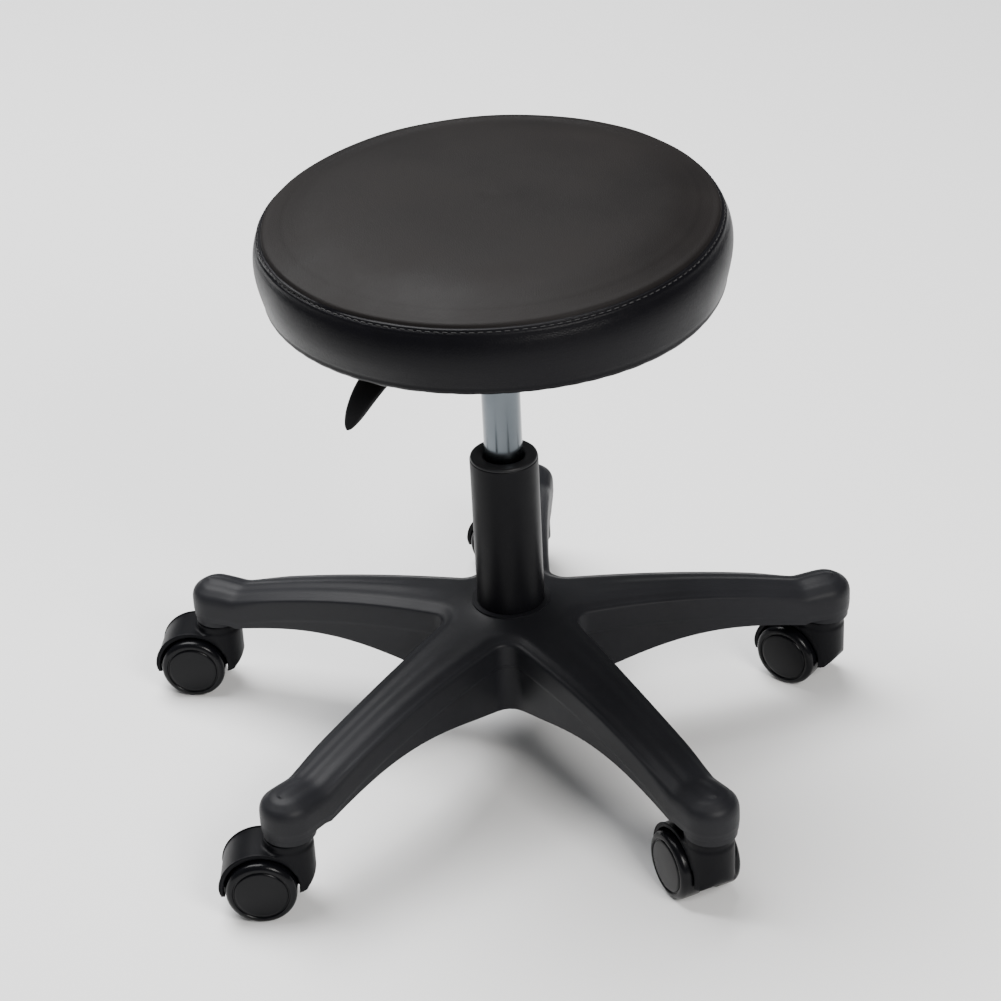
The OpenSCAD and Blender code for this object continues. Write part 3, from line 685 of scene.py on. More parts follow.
D = np.repeat(below_seam[:, None], AROUND, 1)
push = np.zeros_like(D)
for out, below, width in SEWING:
    push += out * MM * bell(D - below * MM, width * MM)
pull = 0.5 - 0.5 * np.cos(A * STITCHES)
push -= 0.16 * MM * pull * bell(D - SEAM_DROP, 1.6 * MM)
X3, Y3, Z3 = grid[..., 0] / MM, grid[..., 1] / MM, grid[..., 2] / MM
gathers = waves(np.cos(A) * 9, np.sin(A) * 9, Z3 * 0.012, 11, 18, 1.0, 2.6)
fade = np.where(D > 0, np.exp(-np.maximum(D, 0) / (13 * MM)),
                np.exp(-np.maximum(-D, 0) / (7 * MM)))
push += 0.22 * MM * gathers * fade
band_soft = waves(X3 * 0.03, Y3 * 0.03, Z3 * 0.07, 5, 16, 0.6, 1.6)
on_band = bell(D - 24 * MM, 20 * MM) * (D > -2 * MM)
push += 0.35 * MM * band_soft * on_band
top_soft = waves(X3 * 0.02, Y3 * 0.02, Z3 * 0.0, 8, 12, 0.5, 1.5)
push += 0.35 * MM * top_soft * (D < -6 * MM) * np.clip((-D - 6 * MM) / (20 * MM), 0, 1)
pleats = np.abs(np.sin(A * PLEATS + 1.3 * np.sin(A * 5)))
under = np.clip((D - 48 * MM) / (9 * MM), 0, 1)
push += (0.35 * MM * (pleats - 0.6)) * under * (Z3 < 3) * (R > FLAP_R + 0.5 * MM)
turn_at = np.degrees(A)
crease_share = np.clip((turn_at - CREASE_AT) / CREASE_RUN, 0, 1)
crease_at = 7.5 * MM * (1 - crease_share) + 0.5 * MM
crease_on = (np.clip((turn_at - CREASE_AT + 6) / 10, 0, 1)
             * np.clip((CREASE_AT + CREASE_RUN + 4 - turn_at) / 14, 0, 1))
push -= 0.75 * MM * crease_on * bell(D - crease_at, 1.0 * MM)
push += 0.40 * MM * crease_on * bell(D - crease_at + 2.4 * MM, 1.8 * MM)
grid += surface_normals(grid) * push[..., None]

# the filling has settled towards the front right, where the lower edge hangs fuller
fuller = bell((turn_at - FULLER_AT + 180) % 360 - 180, FULLER_HALF)
fuller *= bell(Z3 - 3.0, 13.0) * (R > FOOT_R - TURN_R - 1 * MM)
grid[..., 2] -= 3.6 * MM * fuller
grid[..., 0] += 1.2 * MM * fuller * np.cos(A)
grid[..., 1] += 1.2 * MM * fuller * np.sin(A)

flat = list(grid.reshape(-1, 3))
faces = grid_faces(len(line), AROUND)
raised = push_up[-1] if stuffed is not None else 0
flat += [(0, 0, UNDER_H), (0, 0, BAND_H + CROWN_H + raised)]
last_ring = (len(line) - 1) * AROUND
for j in range(AROUND):
    k = (j + 1) % AROUND
    faces.append((len(flat) - 2, k, j))
    faces.append((len(flat) - 1, last_ring + j, last_ring + k))
cover = new_object("seat_pad", flat, faces)
cover.data.transform(SEAT)
outward(cover)
dress(cover, "seat", (TOP_VINYL_PAINTED_LIGHT, BAND_VINYL_PAINTED_SHADE), ("seat_cover", "seat_foam"))
# The crown's faces take the copy with painted light, the band and the underside the copy with painted shade.
which = np.zeros(len(cover.data.polygons), int)
rows = np.arange((len(line) - 1) * AROUND) // AROUND
which[:len(rows)] = rows < seam_row
which[len(rows)::2] = 1
cover.data.polygons.foreach_set("material_index", which.astype(np.int32))

# %% [markdown]
# ### Topstitching
#
# A lockstitch shows as a row of short threads that dive into the cover at both ends. Each one here
# is a small bowed tube that lies in its tuck, so it catches the light as thread does. One
# mesh holds them all.

# %% The stitches
def stitched(name, centres, directions, normals, length, thickness, sides=7, steps=7):
    """Short bowed threads, one at each centre."""
    points, faces = [], []
    for c, d, n in zip(centres, directions, normals):
        side = np.cross(n, d)
        first = len(points)
        for i in range(steps):
            share = i / (steps - 1) * 2 - 1
            spot = c + d * share * length / 2 + n * thickness * (0.55 - 0.95 * share ** 4)
            width = thickness / 2 * (1 - 0.35 * share ** 6)
            for k in range(sides):
                a = 2 * math.pi * k / sides
                points.append(spot + (side * math.cos(a) + n * math.sin(a)) * width)
        faces += rod_faces(steps, sides, first)
    return new_object(name, points, faces)


ring = grid[stitch_row]
ring_normals = surface_normals(grid)[stitch_row]
spots = (np.arange(STITCHES) + 0.5) * AROUND / STITCHES
low_index = np.floor(spots).astype(int) % AROUND
part_way = (spots - np.floor(spots))[:, None]
stitch_centres = (ring[low_index] * (1 - part_way)
                  + ring[(low_index + 1) % AROUND] * part_way)
stitch_ways = ring[(low_index + 2) % AROUND] - ring[(low_index - 1) % AROUND]
stitch_ways /= np.linalg.norm(stitch_ways, axis=1, keepdims=True)
pitch = 2 * math.pi * SEAM_R / STITCHES
threads = stitched("seat_topstitch", stitch_centres, stitch_ways, ring_normals[low_index],
                   pitch * 0.72, 0.75 * MM)
threads.data.transform(SEAT)
outward(threads)
dress(threads, "seat", THREAD)
print("stitch pitch", round(pitch / MM, 1), "mm")

# %% [markdown]
# ### The backing cloth
#
# A ring of thin black cloth hides the staples' inner edge and the board. It was cut flat and
# stapled while it was smooth, so it only shows a few slack folds. It is one sheet with a real
# thickness, pressed flat where the steel plate covers it.

# %% The backing cloth
CLOTH_R = 128.5 * MM
HOLE_R = 58 * MM
CLOTH_T = 0.5 * MM
PLATE_HALF = 79 * MM
CLOTH_RINGS, CLOTH_AROUND = 22, 200
R2, A2 = np.meshgrid(np.linspace(HOLE_R, CLOTH_R, CLOTH_RINGS), full_turn(CLOTH_AROUND),
                     indexing="ij")
X2, Y2 = R2 * np.cos(A2), R2 * np.sin(A2)
outside = np.clip((np.maximum(np.abs(X2), np.abs(Y2)) - PLATE_HALF) / (12 * MM), 0, 1)
outside *= np.clip((CLOTH_R - R2) / (8 * MM), 0, 1)
slack = 1.0 + waves(X2 * 90, Y2 * 90, X2 * 0, 21, 12, 0.6, 1.6)
drop = -0.08 * MM - outside * np.clip(slack, 0, 3) * 0.6 * MM
top_side = np.stack([X2, Y2, drop], 2).reshape(-1, 3)
low_side = np.stack([X2, Y2, drop - CLOTH_T], 2)[::-1].reshape(-1, 3)
cloth_points = np.concatenate([top_side, low_side])
backing_piece = new_object("seat_backing_cloth", cloth_points,
                           ring_faces(2 * CLOTH_RINGS, CLOTH_AROUND))
backing_piece.data.transform(SEAT)
outward(backing_piece)
dress(backing_piece, "seat", BACKING, ("dust_cover",))

# %% [markdown]
# ## The five-arm base
#
# The base is one big moulding: five arms run into a round hub, each arm has a raised back with a
# shoulder on either side, and it ends in a rounded nose over its caster. Underneath it is open,
# with ribs.
#
# A moulding has no hard corner anywhere. We draw its plan outline once, for half an arm: round the
# nose, along the side, and through the fillet between two arms. From each point of it a line runs
# up the wall, over the shoulder and in to the middle. Mirrored and turned five times, these lines
# make the whole skin, with every corner rounded by its own radius.

# %% The base: sizes from the frame
star_low, star_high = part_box("base_star")
HUB_LOW, HUB_TOP = star_low.z, star_high.z
ARMS = ["back", "left", "front_left", "front_right", "right"]
stem_of = {arm: Vector(joint_of[f"caster_swivel_{arm}"]["pos_m"]) for arm in ARMS}
STEM_R = math.hypot(*stem_of["back"].xy)
NOSE_R = 20 * MM
HUB_R = 56 * MM
ARM_END = STEM_R - NOSE_R
COLLAR_Z = HUB_LOW + 3 * MM
NOSE_Z = COLLAR_Z + 5 * MM
SKIRT_Z = HUB_LOW + 1.5 * MM
ROOT_Z = HUB_TOP - 4 * MM
ARM_FALL = 31 * MM
TIP_Z = ROOT_Z - ARM_FALL
SHOULDER_W, SHOULDER_H = 6 * MM, 4 * MM
WALL = 3 * MM


def arm_top(x):
    """Height of an arm's back at a distance from the column."""
    return ROOT_Z - ARM_FALL * (x / ARM_END) ** 2


def arm_low(x):
    """Height of an arm's lower edge."""
    s = np.clip((x - HUB_R) / (ARM_END - HUB_R), 0, None)
    bow = 13.5 * MM * np.sin(math.pi * np.clip(s, 0, 1))
    return SKIRT_Z + (NOSE_Z - 2 * MM - SKIRT_Z) * s + bow


def arm_half(x):
    """Half of an arm's width."""
    return NOSE_R - 0.5 * MM + 13 * MM * (1 - x / STEM_R) ** 2.5


def arm_turn(k):
    """The turn that puts an arm drawn along X in its place."""
    return Matrix.Rotation(math.radians(90 + 72 * k), 4, "Z")


# %% The plan outline of half an arm
CROTCH_R = 12 * MM
RING_R = 25.1 * MM
PART_WAY = np.array([math.cos(math.radians(36)), math.sin(math.radians(36))])


def fillet_between():
    """Where a circle between two arms touches their sides: its centre and the touching point."""
    x = np.linspace(30 * MM, 140 * MM, 1200)
    side = np.stack([x, arm_half(x)], 1)
    for away in np.linspace(50 * MM, 110 * MM, 1200):
        gap = np.linalg.norm(side - PART_WAY * away, axis=1)
        if gap.min() >= CROTCH_R and side[0, 1] < away:
            return PART_WAY * away, side[int(np.argmin(gap))]


centre, touch = fillet_between()
nose_turns = np.linspace(0, math.pi / 2, 25)
side_x = STEM_R - (STEM_R - touch[0]) * np.linspace(0, 1, 62)[1:]
swell = 0.5 * MM * np.exp(-((STEM_R - side_x) / (15 * MM)) ** 2)
from_touch = math.atan2(*(touch - centre)[::-1])
to_middle = math.atan2(-PART_WAY[1], -PART_WAY[0])
fillet_turns = np.linspace(from_touch, to_middle, 15)[1:]
outline = np.concatenate([
    np.stack([STEM_R + NOSE_R * np.cos(nose_turns), NOSE_R * np.sin(nose_turns)], 1),
    np.stack([side_x, arm_half(side_x) + swell], 1),
    centre + CROTCH_R * np.stack([np.cos(fillet_turns), np.sin(fillet_turns)], 1)])
along = np.gradient(outline, axis=0)
inward = np.stack([-along[:, 1], along[:, 0]], 1)
inward /= np.linalg.norm(inward, axis=1, keepdims=True)
inward[0], inward[-1] = (-1, 0), -PART_WAY
middle_x = RING_R + (side_x - touch[0]) * (STEM_R - RING_R) / (STEM_R - touch[0])
ring_turns = np.radians(36) * np.linspace(0, 1, 15)[1:]
middle = np.concatenate([
    np.stack([STEM_R + 6 * MM * np.cos(nose_turns), 0 * nose_turns], 1),
    np.stack([middle_x, 0 * middle_x], 1),
    RING_R * np.stack([np.cos(ring_turns), np.sin(ring_turns)], 1)])
parting = float(np.hypot(*outline[-1]))
print("outline", len(outline), "points; arms part", round(parting / MM, 1), "mm out")

# %% The skin's heights
def smooth_top(a, b, k):
    """The higher of two surfaces, with a rounded valley between them."""
    return np.maximum(a, b) + k * np.log1p(np.exp(-np.abs(a - b) / k))


def back_height(x, y):
    """Height of the arms' backs, the hub's collar and the noses' domes."""
    r, q = np.hypot(x, y), np.hypot(x - STEM_R, y)
    back = arm_top(np.minimum(r, ARM_END)) + 3.4 * MM * np.exp(-(r - RING_R) / (8 * MM))
    dome = TIP_Z + 2.6 * MM * (1 - (q / NOSE_R) ** 2)
    return smooth_top(back, dome, 1.2 * MM)


def lower_edge(r):
    """Height of the moulding's lower edge at a distance from the column."""
    to_nose = np.clip((r - ARM_END + 1 * MM) / (4 * MM), 0, 1)
    edge = arm_low(np.minimum(r, ARM_END))
    return edge * (1 - to_nose) + NOSE_Z * to_nose


def softened(points, times=2):
    """Cuts the corners of a line of points, which rounds them."""
    for _ in range(times):
        a, b = points[:, :-1], points[:, 1:]
        cut = np.stack([a * 0.75 + b * 0.25, a * 0.25 + b * 0.75], 2).reshape(len(points), -1, 2)
        points = np.concatenate([points[:, :1], cut, points[:, -1:]], 1)
    return points


# the rounded shoulder as (distance in, depth below the back), on an arm and on a nose
ARM_SHOULDER = np.array([(0, -16), (0, -10), (0, -6.0), (0.3, -3.7), (2.2, -2.6), (4.2, -2.2),
                         (6.0, -1.5), (8.0, -0.6), (10.0, -0.15), (12.5, 0)]) * MM
NOSE_SHOULDER = np.array([(0, -18), (0, -13), (0.2, -9.5), (1.4, -6.0), (3.2, -3.9), (4.8, -2.8),
                          (6.2, -1.9), (7.8, -0.9), (9.6, -0.3), (12, 0)]) * MM
near_nose = np.clip((60 * MM - np.hypot(*(outline - [STEM_R, 0]).T)) / (40 * MM), 0, 1)
near_nose = (near_nose ** 2 * (3 - 2 * near_nose) * 0.85)[:, None, None]
shoulder = softened(ARM_SHOULDER * (1 - near_nose) + NOSE_SHOULDER * near_nose)

rows = []
low = lower_edge(np.hypot(*outline.T))
start = back_height(*outline.T) + shoulder[:, 0, 1]
tuck_z = np.maximum(start - 6 * MM, low + 4 * MM)
tuck = 0.6 * MM * np.clip((start - low) / (14 * MM), 0.25, 1)
tuck += 0.9 * MM * np.clip((80 * MM - np.hypot(*outline.T)) / (25 * MM), 0, 1)
levels = [(low + (tuck_z - 2 * MM - low) * s, 1.0 + 0.5 * (1 - s))
          for s in (0, 0.03, 0.33, 0.67, 1)]
levels += [(tuck_z + rise * MM, share) for rise, share in ((-1, 0.86), (0, 0.5), (1, 0.14), (2, 0))]
levels += [(tuck_z + 2 * MM + (start - tuck_z - 2 * MM) * s, 0) for s in (0.35, 0.7)]
for z, share in levels:
    rows.append(np.column_stack([outline + inward * (tuck * share)[:, None], z]))
for i in range(shoulder.shape[1]):
    spot = outline + inward * shoulder[:, i, :1]
    rows.append(np.column_stack([spot, back_height(*spot.T) + shoulder[:, i, 1]]))
edge = rows[-1][:, :2]
for s in np.linspace(0, 1, 15)[1:]:
    spot = edge * (1 - s) + middle * s
    swell_up = 1.2 * MM * math.sin(math.pi / 2 * s) ** 2
    swell_up = swell_up * np.clip((np.hypot(*spot.T) - 50 * MM) / (40 * MM), 0, 1)
    rows.append(np.column_stack([spot, back_height(*spot.T) + swell_up]))
half_skin = np.array(rows)

# %% Ten halves make the skin
def joined(name, shapes):
    """One mesh from several (points, faces, matrix)."""
    points, faces = [], []
    for shape_points, shape_faces, matrix in shapes:
        first = len(points)
        points += [matrix @ Vector(p) for p in shape_points]
        faces += [tuple(first + i for i in f) for f in shape_faces]
    made = new_object(name, points, faces)
    outward(made)
    return made


count = half_skin.shape[1]
shapes = []
for k in range(5):
    for side in (1, -1):
        points = list((half_skin * [1, side, 1]).reshape(-1, 3))
        faces = grid_faces(len(half_skin), count, close_columns=False)
        shapes.append((points, faces, arm_turn(k)))
skin = joined("base_skin", shapes)
work = bmesh.new()
work.from_mesh(skin.data)
bmesh.ops.remove_doubles(work, verts=work.verts, dist=0.03 * MM)
bmesh.ops.recalc_face_normals(work, faces=work.faces)
work.to_mesh(skin.data)
work.free()
settle(skin, [("SOLIDIFY", dict(thickness=WALL, offset=-1.0, use_rim=True))])
skin.name = "base_moulding"
dress(skin, "base", BASE_NYLON, ("base_star",))

# %% [markdown]
# ### Ribs and sockets
#
# Turn the stool over and the moulding is hollow: a spine runs out along each arm, cross ribs stop
# it twisting, a thick tube in the middle takes the gas lift's cone, and a boss at each end takes
# the caster's stem. They are thin plates and tubes that end inside the wall above them.

# %% Ribs and sockets
RIB = 2.4 * MM


def plate_shape(outline, thickness, matrix):
    """A flat plate from an outline in X and Z, centred on Y."""
    n = len(outline)
    points = [(x, s * thickness / 2, z) for s in (-1, 1) for x, z in outline]
    faces = [tuple(range(n)), tuple(range(2 * n - 1, n - 1, -1))]
    faces += [(i, n + i, n + (i + 1) % n, (i + 1) % n) for i in range(n)]
    return points, faces, matrix


def tube_shape(outer, inner, low, high, matrix, segments=48, low_inner=None):
    """A tube from low to high."""
    ring = [(outer, low), (outer, high), (inner, high), (low_inner or inner, low)]
    points = [(r * math.cos(a), r * math.sin(a), z) for r, z in ring for a in full_turn(segments)]
    return points, ring_faces(len(ring), segments), matrix


plates = []
BOSS_R = 9.5 * MM
for k in range(5):
    xs = np.linspace(26 * MM, ARM_END + 6 * MM, 26)
    spine = [(x, arm_top(x) - 1.7 * MM) for x in xs]
    spine += [(x, float(lower_edge(x)) + 3 * MM) for x in xs[::-1]]
    plates.append(plate_shape(spine, RIB, arm_turn(k)))
    for share in (0.45, 0.63, 0.81):
        x = ARM_END * share
        half, top, low = arm_half(x), arm_top(x), float(lower_edge(x)) + 3 * MM
        wide, narrow = half - 1.5 * MM, half - SHOULDER_W - 3 * MM
        step, top = top - SHOULDER_H - 2.5 * MM, top - 2.5 * MM
        cross = [(-wide, low), (wide, low), (wide, step), (narrow, top), (-narrow, top),
                 (-wide, step)]
        across = Matrix.Translation((x, 0, 0)) @ Matrix.Rotation(math.pi / 2, 4, "Z")
        plates.append(plate_shape(cross, RIB, arm_turn(k) @ across))
    at_nose = arm_turn(k) @ Matrix.Translation((STEM_R, 0, 0))
    plates.append(tube_shape(BOSS_R, 5.5 * MM, COLLAR_Z, TIP_Z - 1 * MM, at_nose))
    plates.append(tube_shape(18.7 * MM, 15.7 * MM, COLLAR_Z, NOSE_Z + 3 * MM, at_nose, 72))
    for degrees in (45, 135, 225, 315):
        fin = [(BOSS_R - 1 * MM, COLLAR_Z + 3 * MM), (17.4 * MM, COLLAR_Z + 3 * MM),
               (17.4 * MM, TIP_Z - 4 * MM), (BOSS_R - 1 * MM, TIP_Z - 4 * MM)]
        turn = Matrix.Rotation(math.radians(degrees), 4, "Z")
        plates.append(plate_shape(fin, RIB, at_nose @ turn))
plates.append(tube_shape(29 * MM, 25 * MM, HUB_LOW, HUB_TOP - 1 * MM, Matrix(), 96, 24 * MM))
ribs = joined("base_ribs", plates)
crisp(ribs)
dress(ribs, "base", BASE_NYLON)

# %% [markdown]
# ## The casters
#
# Each caster is a hood over two wheels. The hood is a moulding with thin, rounded edges, so one copy
# of the frame's hood is melted into a fine skin and smoothed, then placed five times. A rounded lip
# closes it in front, and a slim bead runs along both of its side edges.

# %% Caster frames
TRAIL = (stem_of["back"] - Vector(joint_of["wheel_spin_far_back"]["pos_m"])).xy.length
AXLE_Z = joint_of["wheel_spin_far_back"]["pos_m"][2]


def caster_frame(arm):
    """The stem's foot on the floor, with X pointing the way the caster faces."""
    ahead = stem_of[arm] - Vector(joint_of[f"wheel_spin_far_{arm}"]["pos_m"])
    return (Matrix.Translation((stem_of[arm].x, stem_of[arm].y, 0))
            @ Matrix.Rotation(math.atan2(ahead.y, ahead.x), 4, "Z"))


AXLE = Matrix.Translation((-TRAIL, 0, AXLE_Z)) @ Matrix.Rotation(-math.pi / 2, 4, "X")
print("trail", round(TRAIL / MM, 1), "mm, axle height", round(AXLE_Z / MM, 1), "mm")

# %% One hood, then five
HOOD_R = 29.6 * MM
HOOD_HALF = 17.5 * MM


def bead(radius, side, start, end, thickness, steps=60, sides=10):
    """A thin rounded bead along the hood's edge, from one angle to another about the axle."""
    points = []
    for a in np.radians(np.linspace(start, end, steps)):
        fade = min(1.0, 0.35 + 4 * min(a - math.radians(start), math.radians(end) - a))
        for b in full_turn(sides):
            r = radius + thickness * fade * math.cos(b)
            y = side * (HOOD_HALF - thickness * 0.8) + thickness * fade * math.sin(b)
            points.append((-TRAIL + r * math.cos(a), y, AXLE_Z + r * math.sin(a)))
    return points, rod_faces(steps, sides), Matrix()


pattern = placed("hood_pattern", frame["nodes"]["hood_back"].data.copy())
pattern.data.transform(caster_frame("back").inverted())
LIP_R, LIP_HALF = 3.2 * MM, 14.5 * MM
at_lip = Matrix.Translation((7.2 * MM, 0, AXLE_Z - 5 * MM + LIP_R))
lip = turned("lip", [(0, -LIP_HALF), (LIP_R, -LIP_HALF), (LIP_R, LIP_HALF), (0, LIP_HALF)], 32,
             at_lip @ Matrix.Rotation(math.pi / 2, 4, "X"), closed=False)
poured(pattern.data, pattern.data, lip.data)
bpy.data.objects.remove(lip)
settle(pattern, [("WELD", dict(merge_threshold=0.01 * MM)),
                 ("REMESH", dict(mode="VOXEL", voxel_size=1.0 * MM)),
                 ("SMOOTH", dict(factor=0.5, iterations=4))])
for arm in ARMS:
    hood = joined(f"caster_hood_{arm}",
                  [bead(HOOD_R - 0.2 * MM, side, 38, 186, 0.9 * MM) for side in (-1, 1)])
    poured(hood.data, pattern.data, hood.data)
    smooth(hood.data)
    hood.data.transform(caster_frame(arm))
    dress(hood, f"caster_{arm}", HOOD_NYLON, (f"hood_{arm}",))
bpy.data.objects.remove(pattern)

# %% [markdown]
# ### The wheels
#
# A caster wheel is turned in one go: a slightly crowned tread, a well rounded shoulder, a fine
# groove and a face that swells gently to its middle. A wide polished shoulder is what catches the
# light, so that curve gets plenty of points.

# %% The wheels
WHEEL_R = AXLE_Z
WHEEL_W = 17.5 * MM
HALF_GAP = 7 * MM
SHOULDER = 4.2 * MM
FACE = WHEEL_W - 0.9 * MM
GROOVE_R = WHEEL_R - SHOULDER - 0.5 * MM
face_line = [(r, WHEEL_W - 1.0 * MM * (r / GROOVE_R) ** 2)
             for r in np.linspace(GROOVE_R - 2.1 * MM, 0, 14)]
wheel_line = ([(0.0, WHEEL_W - 5 * MM), (3.05 * MM, WHEEL_W - 5 * MM), (3.05 * MM, 0),
               (6.3 * MM, 0), (6.5 * MM, 0.3 * MM), (6.5 * MM, WHEEL_W - 6.2 * MM),
               (WHEEL_R - 5.2 * MM, WHEEL_W - 6.2 * MM),
               (WHEEL_R - 5 * MM, 0.3 * MM), (WHEEL_R - 4.7 * MM, 0), (WHEEL_R - 1.4 * MM, 0)]
              + arc((WHEEL_R - 1.3 * MM, 1.2 * MM), 1.2 * MM, -85, -5, 6)
              + [(WHEEL_R, 4 * MM), (WHEEL_R, 8 * MM)]
              + arc((WHEEL_R - SHOULDER, FACE - SHOULDER), SHOULDER, 0, 90, 12)
              + [(GROOVE_R, FACE - 0.15 * MM), (GROOVE_R - 0.4 * MM, FACE - 1.0 * MM),
                 (GROOVE_R - 1.2 * MM, FACE - 1.0 * MM), (GROOVE_R - 1.6 * MM, FACE - 0.3 * MM)]
              + face_line[:-1] + [(0.0, WHEEL_W)])
for arm in ARMS:
    for side, flip in (("far", 1), ("near", -1)):
        place = caster_frame(arm) @ AXLE
        if flip < 0:
            place = place @ Matrix.Scale(-1, 4, (0, 0, 1))
        wheel = turned(f"wheel_{side}_turned_{arm}", wheel_line, 112,
                       place @ Matrix.Translation((0, 0, HALF_GAP)), closed=False)
        crisp(wheel, 50)
        dress(wheel, f"wheel_{side}_{arm}", WHEEL_NYLON, (f"wheel_{side}_{arm}",))

# %% [markdown]
# ## The gas lift
#
# From below: the painted outer tube, the moulded bush in its mouth, the chromed cylinder that
# slides in it, and the steel socket that the cylinder's cone sits in. Turned parts with a small
# rounding at each rim look right at once, because an edge without one never catches the light.

# %% The lift's turned parts
tube_low, tube_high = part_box("outer_tube")
bush_low, bush_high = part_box("guide_bushing")
cyl_low, cyl_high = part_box("gas_cylinder")
socket_low, socket_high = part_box("taper_socket")
TUBE_R, TUBE_WALL = tube_high.x, 1.8 * MM
CYL_R = cyl_high.x
SOCKET_R = socket_high.x
rim = 0.7 * MM


def lift_part(name, profile, body, material, node):
    """A turned part of the lift, with crisp rims."""
    made = turned(name, profile)
    crisp(made, 40)
    dress(made, body, material, (node,))


lift_part("lift_tube", [
    (5.2 * MM, tube_low.z), (TUBE_R - 1.6 * MM, tube_low.z),
    (TUBE_R - 1 * MM, tube_low.z + 0.6 * MM), (TUBE_R - 1 * MM, HUB_LOW), (TUBE_R, HUB_TOP),
    (TUBE_R, tube_high.z - rim)]
    + arc((TUBE_R - rim, tube_high.z - rim), rim, 15, 90, 5)
    + [(TUBE_R - TUBE_WALL, tube_high.z), (TUBE_R - TUBE_WALL, HUB_TOP),
       (TUBE_R - TUBE_WALL - 1 * MM, HUB_LOW), (TUBE_R - TUBE_WALL - 1 * MM, tube_low.z + 3 * MM),
       (5.2 * MM, tube_low.z + 3 * MM)],
    "base", TUBE_PAINT, "outer_tube")

rim_r = bush_high.x
lift_part("lift_bush", [
    (CYL_R + 0.05 * MM, bush_low.z), (TUBE_R - TUBE_WALL, bush_low.z),
    (TUBE_R - TUBE_WALL, tube_high.z), (rim_r, tube_high.z + 0.05 * MM)]
    + arc((rim_r - 1.9 * MM, bush_high.z - 1.9 * MM), 1.9 * MM, 15, 80, 8)
    + [(CYL_R + 3.4 * MM, bush_high.z), (CYL_R + 2.2 * MM, bush_high.z - 0.3 * MM),
       (CYL_R + 0.9 * MM, bush_high.z - 1.5 * MM), (CYL_R + 0.05 * MM, bush_high.z - 2.6 * MM)],
    "base", BUSH_PLASTIC, "guide_bushing")

TAPER = 0.8 * MM
lift_part("lift_cylinder", [
    (CYL_R - 1.5 * MM, cyl_low.z), (CYL_R - 0.5 * MM, cyl_low.z), (CYL_R, cyl_low.z + 0.8 * MM),
    (CYL_R, socket_low.z), (CYL_R - TAPER, cyl_high.z - 0.6 * MM),
    (CYL_R - TAPER - 0.6 * MM, cyl_high.z), (5 * MM, cyl_high.z), (5 * MM, cyl_high.z - 2 * MM),
    (CYL_R - 1.5 * MM, cyl_high.z - 2 * MM)],
    "seat", CHROME_PAINTED_DIM_REFLECTION, "gas_cylinder")

lift_part("lift_socket", [
    (CYL_R + 0.05 * MM, socket_low.z + 0.4 * MM), (CYL_R + 0.6 * MM, socket_low.z),
    (SOCKET_R - 0.8 * MM, socket_low.z), (SOCKET_R, socket_low.z + 0.8 * MM),
    (SOCKET_R, socket_high.z - 0.3 * MM), (SOCKET_R - 0.3 * MM, socket_high.z),
    (CYL_R - TAPER, socket_high.z), (CYL_R - TAPER + 0.05 * MM, cyl_high.z)],
    "seat", POWDER_COAT, "taper_socket")

# %% [markdown]
# ## The height lever
#
# The lever ends in a moulded paddle, made for two fingers: broad and flat where it leaves the
# seat, then curving down to a blunt point. We draw it as a row of rounded sections along a curved
# line, which is how a boat's hull is drawn too.

# %% The lever's paddle
lever_pivot = Vector(joint_of["lever_pull"]["pos_m"])
lever_way = Vector((lever_pivot.x, lever_pivot.y, 0)).normalized()
LEVER = Matrix.Rotation(math.atan2(lever_way.y, lever_way.x), 4, "Z")
PADDLE_START, PADDLE_END = 78 * MM, 146 * MM
ROD_FALL, PADDLE_DROP = 9.5 * MM, 36 * MM
PADDLE_HALF, PADDLE_T = 12.5 * MM, 8 * MM
PADDLE_SIDES = 36


def paddle_section(s):
    """One rounded section of the paddle, at a share of its length."""
    x = PADDLE_START + (PADDLE_END - PADDLE_START) * s
    z = lever_pivot.z - ROD_FALL - PADDLE_DROP * s ** 2.6
    tilt = math.atan(-PADDLE_DROP * 2.6 * s ** 1.6 / (PADDLE_END - PADDLE_START))
    half = PADDLE_HALF * math.sqrt(max(0.003, 1 - max(0.0, (s - 0.45) / 0.55) ** 2.2))
    thick = (PADDLE_T * (1 - 0.45 * s) / 2 + 2 * MM * max(0.0, 0.35 - s)) * min(1.0, 8 * (1.02 - s))
    ring = []
    for a in full_turn(PADDLE_SIDES):
        c, d = math.cos(a), math.sin(a)
        y = half * math.copysign(abs(c) ** 0.62, c)
        up = thick * math.copysign(abs(d) ** 0.75, d) - 0.10 * thick * (y / half) ** 2
        ring.append((x - up * math.sin(tilt), y, z + up * math.cos(tilt)))
    return ring


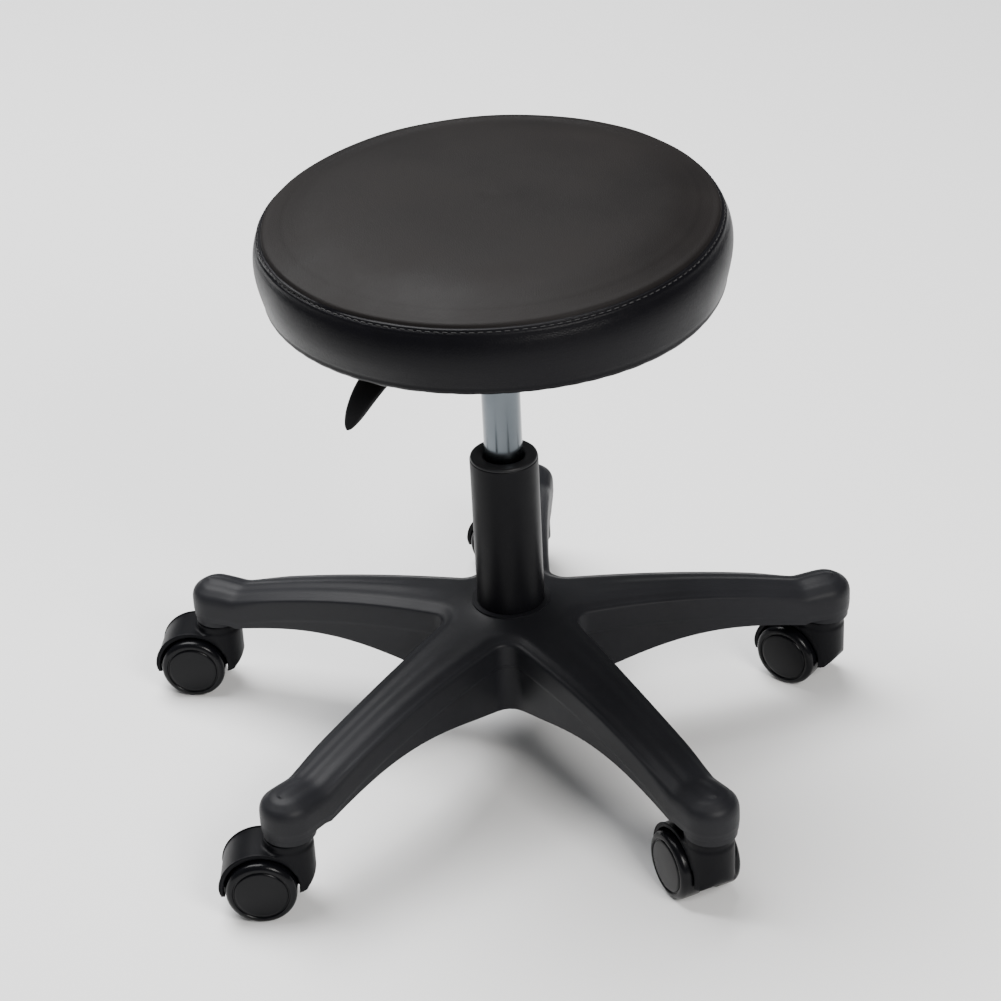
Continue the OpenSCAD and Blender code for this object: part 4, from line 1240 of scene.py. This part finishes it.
shares = list(np.linspace(0, 0.9, 26)) + list(np.linspace(0.92, 1.0, 8))
paddle_points = [p for s in shares for p in paddle_section(s)]
paddle = new_object("lever_paddle", paddle_points, rod_faces(len(shares), PADDLE_SIDES))
paddle.data.transform(LEVER)
outward(paddle)
crisp(paddle, 60)
dress(paddle, "lever", LEVER_PLASTIC, ("lever_handle",))

# %% [markdown]
# ## Floor and light
#
# A pale floor and broad soft lamps are enough for black plastic: what we see on it is mostly the
# lamps' reflections. A broad lamp overhead lights the seat and the floor, and a smaller one from
# the front right draws the highlights on the cover's edge, the noses and the wheels. The sky fills
# the rest. The floor darkens further out, so that upright black pieces don't mirror a bright one.

# %% Floor and lamps
floor = new_object("floor", [(-9, -9, 0), (9, -9, 0), (9, 9, 0), (-9, 9, 0)], [(0, 1, 2, 3)])
floor_finish = Finish("pale_floor", Roughness=0.75, Specular_IOR_Level=0.2)
pool = floor_finish.node("ShaderNodeMapping", {"Vector": floor_finish.place},
                         Location=(0.0, -0.45, 0.0), Scale=(0.90, 0.60, 1.0))
away = floor_finish.node("ShaderNodeVectorMath", {0: pool.outputs["Vector"]}, operation="LENGTH")
floor_finish.paint(floor_finish.span(away.outputs["Value"], 1.0, 2.2), (0.0, (0.90, 0.90, 0.90)),
                   (1.0, (0.24, 0.24, 0.25)))
floor_finish.gloss(floor_finish.noise(3.0), 0.7, 0.8)
floor.data.materials.append(floor_finish.material)

sky = bpy.data.worlds.new("sky")
sky.use_nodes = True
background = sky.node_tree.nodes["Background"]
background.inputs["Color"].default_value = (0.95, 0.97, 1.0, 1.0)
background.inputs["Strength"].default_value = 0.20
bpy.context.scene.world = sky


def lamp(name, place, target, size, power, colour=(1.0, 1.0, 1.0)):
    """A soft square lamp that points at a target."""
    light = bpy.data.lights.new(name, "AREA")
    light.size, light.energy, light.color = size, power, colour
    made = placed(name, light)
    made.location = place
    made.rotation_euler = (Vector(target) - Vector(place)).to_track_quat("-Z", "Y").to_euler()


lamp("front_right_lamp", (1.1, -1.5, 1.5), (0.0, 0.0, 0.3), 0.8, 48.0, (1.0, 0.98, 0.95))
lamp("overhead_lamp", (-0.9, 0.9, 3.0), (0.0, 0.5, 0.0), 2.4, 240.0)
